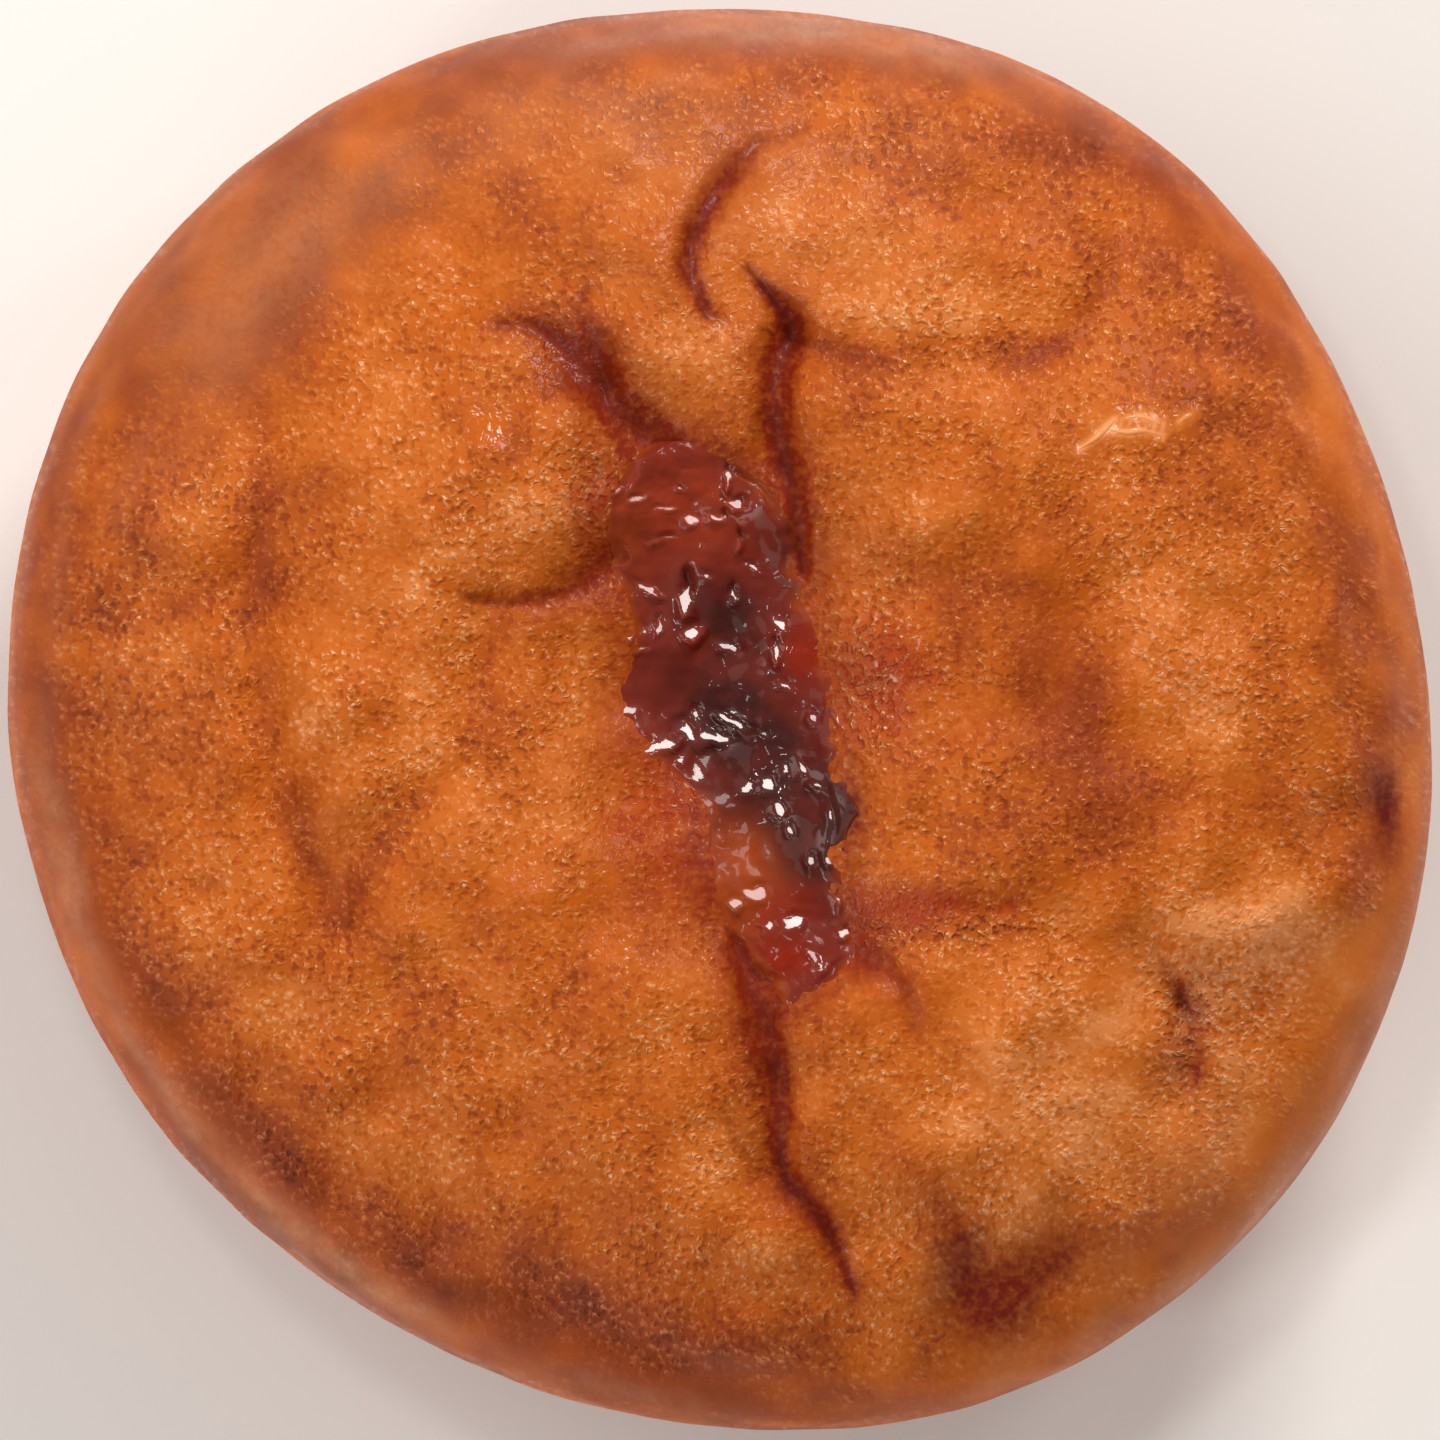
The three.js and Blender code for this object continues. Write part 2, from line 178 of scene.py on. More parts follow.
# The dough: a superellipse turned inside a wavy rim, with relief on it.
dough = {
    "diameter": 85.7, "equator": 18.5, "crownRise": 20.6, "baseDrop": 19.3,
    "crownRoundness": 2.5, "baseRoundness": 2.6,
    "dipDepth": 3.6, "dipRadius": 13,  # the sunk middle
    "collarHeight": 11, "collarRecess": 0.35,  # the smooth band round the rim
    "calmLeft": 0.15, "calmHeight": 13,  # share of the relief left at the rim, and mm to all of it
    "around": 600, "crownRings": 102, "sideRings": 30, "baseRings": 24,
    "shoulder": 0.9, "innerCrown": 0.012, "innerBase": 0.06,
    # waves of the rim: count, share of the radius, phase in degrees
    "rimWaves": [(1, 0.0125, 37), (2, 0.022, -91), (3, 0.0104, 168), (4, 0.0066, -171),
                 (5, 0.0033, -53), (6, 0.0026, -32)],
    # plump lobes and dents of the crown: x, y, radius, height
    "lobes": [(14, 28.5, 8, 1), (-6, 26, 6, 0.6), (-16, 14, 7, 0.7), (-30, 13, 5, 0.6), (-23, 1, 5, 0.5),
              (-31, -11, 6, 0.6), (-4, -19, 6, 0.8), (2, -31, 5, 0.6), (17, -21, 9, 0.9), (28, 4, 5, 0.8),
              (30, -11, 5, 0.8), (12, 13, 6, 0.5), (21, 1.5, 7, -1.1), (16, -34, 3.5, -1.2),
              (21, -30, 3, -0.8), (39, -5, 3, -1), (18, 21.5, 3.5, -0.8)],
    # soft valleys: course of x, y, width; depth
    "valleys": [([(-26.5, 18, 4), (-27, 9, 4), (-26, -3, 4), (-22.5, -11, 4)], 0.9),
                ([(-27, 9, 3.5), (-31, 7, 3.5), (-36, 5.5, 3.5)], 0.6),
                ([(-13, 6, 4.5), (-14.5, -1, 4.5), (-19, -6, 4.5), (-22.5, -11, 4.5)], 0.8),
                ([(7, 21.5, 4), (13, 21.8, 4), (20, 22, 4), (23, 26, 4)], 0.8),
                ([(8, -12, 4), (14, -11.5, 4), (20, -12, 4)], 0.6)],
    # thin wet wrinkles: height for their width; courses of x, y, width
    "wrinkles": (0.26, [
        [(21.2, 15.9, 0.25), (22.2, 16.6, 0.4), (23.3, 17.7, 0.5)],
        [(23.9, 17.7, 0.25), (24.7, 17.85, 0.4), (25.3, 17.7, 0.4), (26.2, 17.3, 0.25)],
        [(23.1, 17, 0.25), (24, 16.9, 0.45), (24.8, 17, 0.45), (25.5, 16.9, 0.35), (26.2, 16.7, 0.25)],
        [(27, 17.4, 0.25), (27.5, 17.8, 0.45), (28, 18, 0.25)],
    ]),
    # unevenness: waves, shortest, longest, height
    "rolls": (12, 16, 34, 0.38), "swells": (22, 4.2, 7.5, 0.21),
}

# The crust's fine skin, in mm and shares; noises are size in mm, amount, seed.
skin = {
    "crownFade": 8,  # mm above the equator where the sides end
    "crinkles": [(3.4, 1, 21), (1.7, 0.5, 22)], "crinkleHeight": 0.16,
    "blisterCell": 1.7, "blisterSeed": 31, "blisterRadius": 0.62,  # the radius in cells
    "blisterHeight": 0.14, "sink": 0.1, "sideShare": 0.06, "sideGrit": 0.4,
    "rimCalm": 0.82, "rimFrom": 0.87, "rimFade": 0.08,  # how much calmer the rim is, and from where
    "rimRagged": [(5, 0.03, 11), (1.6, 0.03, 12)],
    "smoothCalm": 0.85,  # how much calmer the smooth patches are
    "clusters": [(3.2, 0.35, 14), (1.2, 0.4, 17)], "clusterRange": (0.35, 1.2),
}

# Folds where the dough closed on itself: course of x, y, width; its depth for that width; its jam.
folds = {
    "hook": ([(5.1, 35.1, 0.6), (3.8, 34.2, 1), (1.9, 33.5, 1.6), (-0.6, 30.3, 2), (-1.8, 27.1, 2),
              (-1.5, 25.5, 1.4), (-0.6, 23.8, 0.9), (0.6, 23.5, 0.5)], 0.42, 0.9),
    "right": ([(1.6, 26.6, 0.5), (3.3, 24.6, 1.4), (4.2, 23.2, 3), (3.6, 21, 2.9), (3.3, 19, 2.6),
               (3.4, 17, 2.4), (4.2, 14.6, 2.2), (4.7, 11.5, 1.8), (5, 8.5, 0.6)], 0.48, 1.15),
    "rightBranch": ([(4.4, 22.6, 1.4), (6.6, 21.6, 0.9), (9.5, 21.4, 0.5)], 0.25, 0.2),
    "left": ([(-13.2, 23.2, 0.7), (-10.9, 23.1, 1.6), (-9.1, 22, 2.4), (-7.6, 20, 3), (-5.6, 17.8, 3),
              (-3.6, 16.2, 3), (-2, 14.5, 2.6)], 0.3, 0.75),
    "leftBranch": ([(-7.7, 25.4, 0.6), (-8.2, 23.8, 1.2), (-7.2, 22.2, 1.9), (-6.4, 20, 2)], 0.26, 0.5),
    "lowLeft": ([(-15, 7.2, 0.6), (-11.8, 6.9, 1.3), (-8.8, 7.6, 2.2), (-6, 9.6, 2.8)], 0.25, 0.45),
    "tail": ([(0.9, -12.9, 1), (1.8, -15.2, 2.2), (2.6, -17.6, 2.7), (3.1, -20, 2.7), (3.5, -22.4, 2.5),
              (3.5, -24.8, 2), (4, -27, 1.9), (5.6, -29, 1.9), (6.8, -30.9, 1.7), (7.9, -33.8, 0.6)],
             0.42, 0.85),
    "tailBranch": ([(0.4, -23.6, 0.5), (1.8, -26, 0.8), (3.6, -28.2, 0.9)], 0.18, 0.1),
    "lowRight": ([(6.4, -12.6, 2.4), (8.6, -14, 1.9), (10.6, -15.4, 1.5), (11.5, -18.2, 0.8)], 0.22, 0.45),
    "edgeNick": ([(26.4, -14.6, 0.6), (27.6, -17, 1.2), (28.3, -19.2, 1.5), (27.9, -22.4, 0.6)], 0.3, 0.3),
}
# Their form, for that width: the groove's half width, and the swelling lips and soft shoulders beside it.
foldShape = {
    "narrow": 0.42, "sharpness": 2.6, "lipRise": 0.07,
    "shoulderWidth": 1.5, "shoulderDepth": 0.25,
    "wobbles": [(1.4, 0.22, 15), (0.6, 0.13, 16)],  # size in mm, amount, seed
}
# How jam and shade colour them: amounts, with widths for a fold's own.
foldMarks = {
    "wander": [(0.9, 0.2, 42)], "core": 0.95, "coreWidth": 0.32, "coreMargin": 0.1,
    "halo": 0.3, "haloWidth": 1.2, "dark": 0.6, "darkWidth": 0.2, "shade": 0.1, "shadeWidth": 1.1,
}

# The split in the middle, which follows the jam's edges: y, left x, right x.
split = {
    "edges": [(16.4, -4.2, -1.2), (15.4, -6.2, 1.6), (14.2, -6.9, 3.4), (13.2, -7.2, 4.8),
              (10.7, -7.5, 5.3), (7.7, -6.7, 5.7), (4.8, -5.7, 6.6), (1.2, -6.3, 7.2), (-2.3, -4.6, 7.4),
              (-4.7, -1.6, 7.8), (-5.9, -1.4, 8.4), (-8.3, -1.6, 7.4), (-10.6, -0.9, 7.8),
              (-11.8, -0.3, 8.3), (-13.4, 0.9, 8.8), (-14.8, 1.4, 8.4), (-16, 2.2, 6.8), (-16.8, 3.2, 5)],
    "shoulderWidth": 5.5, "shoulderDepth": 1.1, "shoulderInset": 4,
    "depth": 2.4, "inset": 0.9, "lipRun": 2,
}

# How the crust is coloured, roughened and oiled. Ovals are x, y, half length, half width, amount and,
# where they have one, a turn in degrees. Noises are size in mm, amount, seed.
spots = {
    "tone": 0.57, "valleyShade": 0.22, "creaseWidth": 0.26,  # painted shade darkens the valleys along a narrow crease
    "creaseWander": [(2.5, 0.9, 49)],
    "splitStain": 0.4, "splitRun": 2.2,  # jam on the split's lips, and mm that it reaches out
    "glazeWidth": 0.6, "wrinkleHighlight": 0.45,  # oil on the thin wrinkles, and how much lighter a painted highlight makes them
    "amberCalm": 0.7, "stainCalm": 0.6,  # how much less gritty the crust is there
    "dryRoughness": 0.55, "wetSmoother": 0.25,
    # what breaks the ovals up
    "broken": {"stain": [(1.3, 0.4, 41)], "film": [(1.3, 0.8, 43)], "amber": [(0.8, 0.4, 44)],
               "haze": [(4, 0.4, 47)], "rimHaze": [(1.3, 0.7, 48)], "smooth": [(3, 0.4, 13)]},
    # round the rim: direction and its spread in degrees, share of the rim's radius and its spread, amount
    "rimTones": [(60, 45, 0.93, 0.07, -0.3), (100, 22, 0.96, 0.04, -0.14), (0, 28, 0.9, 0.05, -0.24),
                 (30, 20, 0.93, 0.05, 0.06), (130, 34, 0.86, 0.12, -0.16), (180, 28, 0.95, 0.05, -0.15),
                 (213, 22, 0.89, 0.05, -0.38), (250, 25, 0.91, 0.04, -0.2), (290, 28, 0.91, 0.05, -0.12),
                 (222, 26, 0.97, 0.025, -0.28), (326, 24, 0.92, 0.08, 0.1), (40, 30, 0.79, 0.07, -0.18),
                 (2, 10, 0.8, 0.03, 0.14), (270, 22, 0.86, 0.04, -0.12), (268, 20, 0.96, 0.03, -0.14)],
    "sheens": [(92, 16, 0.955, 0.03, 0.5), (66, 14, 0.965, 0.02, 0.3), (240, 18, 0.965, 0.025, 0.3),
               (212, 14, 0.955, 0.02, 0.1), (322, 22, 0.97, 0.02, 0.3), (0, 14, 0.94, 0.02, 0.2)],
    "mottle": [(9, 0.06, 71), (4.2, 0.13, 72), (2, 0.11, 73), (1, 0.06, 74)],  # noises
    "tones": [
        (15, 25, 16, 9, 0.03, -10), (31, -18, 8, 6, 0.17, -20), (-30, -18, 7, 6, 0.1, -30),
        (10, -33, 4, 4, 0.16), (20.5, 1.5, 4.5, 9.5, -0.26, 18), (28, 4, 2.5, 5, 0.08),
        (-22, -27, 15, 4.5, -0.06, -38), (-8, -34, 12, 4, -0.16, -15), (17, -23, 9, 6, 0.18),
        (-27, 0, 4, 12, -0.06, 5), (-38, 3, 3, 10, -0.08), (19.5, 21.3, 2.4, 1.4, -0.14, 10),
        (-12, 12, 8, 5, 0.08, 30), (2, 27, 6, 8, 0.14), (-28, 26, 12, 7, -0.06, 45), (-20, 5, 8, 10, 0.08),
        (-5, -24, 8, 7, 0.06), (30, -11.6, 4.6, 3.2, 0.24), (23.2, -6.4, 3.5, 5, -0.1),
        (32.5, -4.8, 6, 2.2, -0.03, 5), (37.5, -14, 2.5, 8, -0.02, 15), (5.4, 33, 4.5, 3.2, -0.15),
        (14.5, 23.6, 6, 1.8, 0.17), (-12.2, 22.5, 3, 2.5, -0.13), (-12.5, 16, 4, 5, -0.15),
        (-9.5, 29.5, 1.8, 4.5, 0.1, 25), (-31.2, 10.7, 2.6, 2.3, 0.22), (23, 13.6, 2, 4, 0.16, 10),
        (-21.3, -5.8, 2, 2.5, 0.13), (-12, 2.7, 1.6, 2, -0.15), (-5.5, -11.5, 5, 4.5, -0.11),
        (9.5, -3.5, 2.5, 5, -0.09), (10.5, -18.5, 4, 3.5, -0.09), (2.7, -31.3, 3, 1.8, 0.24),
        (36.8, -8.2, 3, 2, -0.14), (24.5, 22, 3, 2.5, -0.07), (-3, -19.2, 3, 2.5, 0.07),
        (34, -0.5, 2, 5, 0.07), (20, -11.4, 4, 1.6, 0.3), (27, -12, 2.5, 1.2, 0.1),
        (31.5, -21.5, 2, 2, 0.15), (36, -14, 3.5, 3, 0.16), (17.5, 6, 4, 6, -0.05, 15),
        (25.2, 1.5, 1.4, 8, 0.07, 12), (34, -12, 3, 2.5, 0.08), (34.3, 19, 2, 5, 0.16, 15),
        (12, -38, 4, 2, 0.14), (-4, -34, 5, 3, -0.08), (8.6, 23, 2.5, 1.5, 0.12), (-7.3, 13.5, 2, 3, 0.14),
        (-36, -2.6, 3, 3, 0.08), (10.5, -34.5, 3, 2, 0.08), (20, -34, 3, 3, 0.06),
    ],
    "rough": [(27.8, -17.8, 1.8, 3.6, 1.4, -12), (15, -12.3, 4, 0.6, 1, 4), (8.5, -12.4, 4, 0.8, 0.6),
              (8.8, 3, 2.2, 5, 0.7), (-7.5, 13, 1.8, 2.5, 0.5), (-8.5, 21.5, 3, 1.2, 0.5, -45),
              (-30.5, 14, 3.5, 2.5, 0.5, 30), (-35, 8, 2, 3, 0.4)],
    "smooth": [(-28, 26, 13, 8, 1, 45), (0.7, 31, 3, 4, 0.5), (10.5, -16.5, 3.5, 2.5, 0.7),
               (24, -20, 5, 4, 0.4), (36.5, -17, 3.5, 8, 0.6, 15), (20.5, 2, 4, 8, 0.3, 18)],
    # jam from thin to thick: film, stain, plum; the clean spots of the folds have less
    "stain": [
        (0, 4, 9, 13, 0.2), (2.4, -19, 1.6, 3.4, 0.6), (-10.8, 6.3, 3.4, 1.2, 0.3, 10),
        (-7, 20.5, 5, 3, 0.2, -45), (-0.8, -9.5, 1.5, 4.5, 0.45, 8), (-4.2, 16.8, 3, 1.6, 0.5, -35),
        (14, -30.8, 4, 1.6, 0.6, -65), (16.4, -34.6, 3, 2.5, 0.65, 10), (19.3, -32.1, 4, 1.5, 0.6, 32),
        (39.4, -4.7, 0.8, 2.6, 0.8, 5), (25.3, 33, 1.6, 1.2, 0.35), (27, -17, 0.5, 2, 0.45, -18),
        (28.2, -20.9, 0.5, 1.4, 0.4, -30), (27.4, -20.6, 1.2, 0.5, 0.35, -10),
        (27.7, -18.4, 1.5, 3.6, 0.3, -10), (19.5, 21.6, 2.4, 1, 0.3, 10), (20.5, 1.5, 4.5, 9.5, 0.2, 18),
        (23, -6, 3.5, 4, 0.1), (32.5, -4.8, 6, 2, 0.1, 5),
    ],
    "clean": [(3.6, 33.9, 2.6, 1.3, 0.75, 30), (0.4, 23.6, 1, 0.7, 0.8), (1.9, 26.6, 1, 1.2, 0.65),
              (-13, 7, 2, 1, 0.3), (-12.2, 23.3, 1.6, 1, 0.5), (11.4, -17.6, 1.2, 1.6, 0.5),
              (6.3, 10.5, 1.3, 2.5, 0.6), (-8.2, 11, 1.8, 1.6, 0.5), (-1, 18.8, 1.8, 1.8, 0.4),
              (0.4, 17.6, 1.2, 1.2, 0.4), (6.5, 24.5, 3, 1.2, 0.6), (-9.2, 24.2, 1.6, 1.4, 0.4)],
    "plum": [(15.3, -34.3, 2.8, 2.6, 0.6, 10), (19.8, -31.9, 2.8, 1.6, 0.55, 32),
             (13.6, -30.8, 2.4, 1.4, 0.3, -65), (39.4, -5, 0.8, 2.4, 1.1, 5), (7.9, -5.5, 0.8, 2, 0.9)],
    "film": [(-3.5, -5.2, 3.2, 5, 0.65, 15), (-4, -10, 3.5, 3, 0.3), (9.5, -11.4, 3.2, 1.4, 0.7, 8),
             (14, -11.1, 4, 0.9, 0.7, 6), (17.2, -10.6, 1, 0.5, 1, 10), (-7.4, 13, 1.6, 3.5, 0.7),
             (32, -16, 5, 4, 0.2), (-2, -34, 7, 3, 0.2), (8.5, -14, 3.4, 1.4, 0.6, -50),
             (9.5, 3, 3.4, 4, 0.6), (11, 0, 5, 3, 0.3)],
    "amber": [(-13.2, 17.4, 0.9, 0.7, 0.9, 20), (-14.6, 17.9, 0.7, 0.8, 0.8), (-13.6, 16.4, 1.1, 0.5, 0.7),
              (-10.3, -9.9, 0.8, 0.8, 0.9), (-8.3, -10.6, 1.4, 0.5, 0.8, 10), (-6.2, -9.5, 0.6, 0.9, 0.8),
              (-5.9, -13.9, 0.8, 0.9, 0.8), (-7.2, -12.9, 0.8, 0.6, 0.6), (-12.2, -9.2, 0.9, 0.7, 0.7),
              (-17.7, -11.9, 0.9, 0.8, 0.6), (2, 28, 7, 6, 0.35), (28, 4, 3, 5, 0.25)],
    "gold": [(5, 0.2, 45), (2.2, 0.16, 46)],
    # a pale painted sheen round the rim, where it would reflect the room and floor
    "rimHaze": [(79, 12, 0.96, 0.03, 0.36), (100, 10, 0.955, 0.03, 0.12), (191, 9, 0.945, 0.025, 0.4),
                (206, 8, 0.955, 0.02, 0.2), (218, 7, 0.945, 0.02, 0.3), (229, 8, 0.95, 0.022, 0.32),
                (239, 8, 0.955, 0.022, 0.32), (262, 12, 0.96, 0.02, 0.15)],
    # a pale painted sheen on the crown's smooth patches
    "haze": [(3, 27, 9, 6, 0.08), (-23.5, 29.5, 6, 3.5, 0.22, 30), (-29.5, 24, 6, 4, 0.26, 55),
             (0, 34, 12, 4, 0.1), (-3, -34, 10, 4, 0.04, -5), (27, -27, 5, 3, 0.15, 40),
             (-8, 36, 8, 3, 0.15, 5), (-18, 33, 6, 3, 0.12, 25)],
    "oil": [(-32, 14, 3, 3, 0.35), (-34, 4, 3, 4, 0.2), (22, -32, 6, 2, 0.2, 30),
            (28, -17.8, 1, 3.6, 1, -12), (9.5, 2, 3, 5, 0.4), (10, -11, 6, 2.5, 0.45),
            (-7, 12.5, 2, 2.5, 0.4), (-9, 21, 2, 3, 0.4, 30)],
}


def rimOvals(x, y, patches):
    # Sum of soft ovals round the rim: degrees of direction, shares of the rim's radius, and amount.
    angle = np.arctan2(y, x)
    share = np.hypot(x, y) / rimRadius(angle)
    total = np.zeros_like(x)
    for turn, spread, at, wide, amount in patches:
        apart = np.abs((np.degrees(angle) - turn + 180) % 360 - 180)
        total += amount * bell(apart, spread) * bell(share - at, wide)
    return total


def brokenOvals(x, y, z, name, shape=ovals):
    # The crust's named ovals, broken up: their sum times one plus their noise.
    return shape(x, y, spots[name]) * layered(x, y, z, spots["broken"][name], 1)


def rimRadius(angle):
    # Mean radius times one plus the rim's waves.
    waves = sum(share * np.cos(count * angle - math.radians(phase))
                for count, share, phase in dough["rimWaves"])
    return dough["diameter"] / 2 * (1 + waves)


def rimShare(x, y):
    # Distance from the middle as a share of the rim's radius in that direction.
    return np.hypot(x, y) / rimRadius(np.arctan2(y, x))


def reliefShare(z):
    # Share of the relief at a height: a little at the equator, all of it calmHeight above or below.
    off = np.abs(z - dough["equator"])
    return dough["calmLeft"] + (1 - dough["calmLeft"]) * np.minimum(1, off / dough["calmHeight"]) ** 2


def plainPoint(angle, reach):
    # Superellipse turned inside the rim: reach 0 is the crown's middle, 1 the equator, 2 the base's middle.
    crown = reach <= 1
    power = np.where(crown, dough["crownRoundness"], dough["baseRoundness"])
    rise = np.where(crown, dough["crownRise"], -dough["baseDrop"])
    turn = np.minimum(reach, 2 - reach) * math.pi / 2
    radius = rimRadius(angle) * np.sin(turn) ** (2 / power)
    height = dough["equator"] + rise * np.maximum(0, np.cos(turn)) ** (2 / power)
    return np.stack([radius * np.cos(angle), radius * np.sin(angle), height], -1)


def foldRelief(x, y, cut):
    # Each fold: a soft shoulder, a lip that swells a little on both sides, and when cut a ragged groove
    # as deep as depth * width * exp(-(distance / half width) ^ sharpness).
    total = np.zeros_like(x)
    ragged = layered(x, y, 0 * x, foldShape["wobbles"])
    for course, depth, _ in folds.values():
        widest = max(point[2] for point in course)
        middle = course[len(course) // 2]
        near = np.hypot(x - middle[0], y - middle[1]) < 30
        away, width = followCourse(x[near], y[near], course)
        ripped = np.maximum(0, away + ragged[near] * np.minimum(1, width / 2))
        slit = np.exp(-(ripped / (foldShape["narrow"] * width)) ** foldShape["sharpness"])
        lip = bell(away - width, 0.55 * width)
        shape = foldShape["lipRise"] * width * lip - (depth * width * slit if cut else 0)
        shape -= foldShape["shoulderDepth"] * widest * bell(away, foldShape["shoulderWidth"] * widest)
        total[near] += shape
    return total


def splitEdges(y):
    # The left and right edge at each y: straight lines between the named ones, averaged over 1.5 mm.
    table = np.array(split["edges"])[::-1]
    shifts = np.linspace(-0.75, 0.75, 7)
    return [np.mean([np.interp(y + s, table[:, 0], edge) for s in shifts], axis=0)
            for edge in table.T[1:]]


def splitInside(x, y):
    # How far a point lies inside the split, in mm, and less than nothing outside it.
    left, right = splitEdges(y)
    top, bottom = split["edges"][0][0], split["edges"][-1][0]
    return np.minimum(np.minimum(x - left, right - x), np.minimum(top - y, y - bottom))


def crownRelief(x, y, cut=True):
    # Height of the dip, lobes, dents, valleys and folds over a point of the table, all bells, with the
    # split and the folds cut or not.
    total = -dough["dipDepth"] * bell(np.hypot(x, y), dough["dipRadius"])
    for px, py, radius, height in dough["lobes"]:
        total += height * bell(np.hypot(x - px, y - py), radius)
    for course, depth in dough["valleys"]:
        away, width = followCourse(x, y, course)
        total -= depth * bell(away, width / 2)
    inside = splitInside(x, y)
    outside = np.minimum(inside - split["shoulderInset"], 0)
    total -= split["shoulderDepth"] * bell(outside, split["shoulderWidth"])
    if cut:
        total -= split["depth"] * ease((inside - split["inset"]) / split["lipRun"])
    return total + foldRelief(x, y, cut)


def gritAmount(x, y, z):
    # How gritty the crust is: in clusters on the crown, less on the smooth patches and on the rim, which
    # oil has smoothed, more on the rough spots, and evenly on the steep sides.
    ragged = layered(x, y, z, skin["rimRagged"])
    inner = 1 - skin["rimCalm"] * ease((rimShare(x, y) + ragged - skin["rimFrom"]) / skin["rimFade"])
    smooth = np.clip(brokenOvals(x, y, z, "smooth"), 0, 1)
    clusters = np.clip(layered(x, y, z, skin["clusters"], 0.85), *skin["clusterRange"])
    grit = inner * (1 - skin["smoothCalm"] * smooth) * clusters + ovals(x, y, spots["rough"])
    crown = ease((z - dough["equator"]) / skin["crownFade"])
    return crown * grit + (1 - crown) * skin["sideGrit"]


def skinRelief(x, y, z):
    # The crust's rolls and swells, and apart from them its fine skin: crinkles, highest where their noise
    # is nil, and blisters, each the top of a ball. Both rise with the grit, and are faint on the sides.
    rolls = unevenness(x, y, z, *dough["rolls"]) + unevenness(x, y, z, *dough["swells"])
    crinkle = 1 - np.abs(layered(x, y, z, skin["crinkles"]))
    away, luck = nearestSeeds(x, y, z, skin["blisterCell"], skin["blisterSeed"])
    ball = np.sqrt(np.clip(1 - (away / skin["blisterRadius"]) ** 2, 0, 1))
    blister = ball * (0.35 + 0.65 * luck)
    share = np.where(z > dough["equator"] + skin["crownFade"], gritAmount(x, y, z), skin["sideShare"])
    return rolls, share * (skin["crinkleHeight"] * crinkle + skin["blisterHeight"] * blister - skin["sink"])


def crustHeight(x, y, cut=True):
    # Height of the crust over a point of the table well inside the rim: the superellipse and its relief.
    power = dough["crownRoundness"]
    plain = dough["equator"] + dough["crownRise"] * (1 - rimShare(x, y) ** power) ** (1 / power)
    rolls, fine = skinRelief(x, y, plain)
    return plain + reliefShare(plain) * (rolls + crownRelief(x, y, cut)) + fine


def doughSurface():
    # Rings from the crown's middle over the rim to the base's middle. Each point moves out by its relief:
    # straight up in the middle of the crown, and square to the plain form at the rim and below.
    def reachOf(share, power):
        # The reach at which the superellipse comes to this share of its radius.
        return np.arcsin(share ** (power / 2)) * 2 / math.pi

    crownShares = np.linspace(dough["innerCrown"], dough["shoulder"], dough["crownRings"])
    crown = reachOf(crownShares, dough["crownRoundness"])
    sideEnd = 2 - reachOf(dough["shoulder"], dough["baseRoundness"])
    side = np.linspace(crown[-1], sideEnd, dough["sideRings"] + 1)[1:]
    baseShares = np.linspace(dough["shoulder"], dough["innerBase"], dough["baseRings"] + 1)[1:]
    reaches = np.concatenate([crown, side, 2 - reachOf(baseShares, dough["baseRoundness"])])
    angles = np.arange(dough["around"]) * 2 * math.pi / dough["around"]
    reach, angle = np.meshgrid(reaches, angles, indexing="ij")
    plain = plainPoint(angle, reach)
    step = 0.002  # to each side, for the direction square to the plain form
    near = np.clip(reach, 2 * step, 2 - 2 * step)
    along = plainPoint(angle, near + step) - plainPoint(angle, near - step)
    across = plainPoint(angle + step, near) - plainPoint(angle - step, near)
    normal = np.cross(along, across)
    normal /= np.linalg.norm(normal, axis=-1, keepdims=True)
    x, y, z = plain[..., 0], plain[..., 1], plain[..., 2]
    share = np.hypot(x, y) / rimRadius(angle)
    fade = ease((share - 0.6) / 0.3)
    upright = np.where(z > dough["equator"], 1 - fade, 0)[..., None]
    outward = normal * (1 - upright) + np.array([0, 0, 1]) * upright
    outward /= np.linalg.norm(outward, axis=-1, keepdims=True)
    off = np.abs(z - dough["equator"]) / (dough["collarHeight"] / 2)
    collar = dough["collarRecess"] / (1 + off ** 8)
    crownPart = np.where(z > dough["equator"], crownRelief(x, y), 0)
    rolls, fine = skinRelief(x, y, z)
    points = plain + outward * (reliefShare(z) * (rolls + crownPart) + fine - collar)[..., None]
    points[..., 2] = np.maximum(points[..., 2], 0)
    return points


def wrinkleStrips():
    # Each thin wet wrinkle is a tube along its smoothed course, half sunk in the crust and tapered at both
    # ends. Its height over the crust is height * width * sin(turn) * |sin(turn)| round it, so it rises
    # from the crust without a crease.
    turn = np.linspace(0, 2 * math.pi, 14, endpoint=False)
    height, courses = dough["wrinkles"]
    for course in courses:
        path = smoothCourse(course, 30)
        run = np.gradient(path[:, :2], axis=0)
        run /= np.linalg.norm(run, axis=1, keepdims=True)
        taper = np.sin(np.linspace(0.15, math.pi - 0.15, len(path))) ** 0.7
        width = (path[:, 2] * taper)[:, None]
        off = width / 2 * np.cos(turn)
        x = path[:, :1] - run[:, 1:] * off
        y = path[:, 1:2] + run[:, :1] * off
        rise = height * width * np.sin(turn) * np.abs(np.sin(turn))
        yield np.stack([x, y, crustHeight(x, y) + rise], -1)


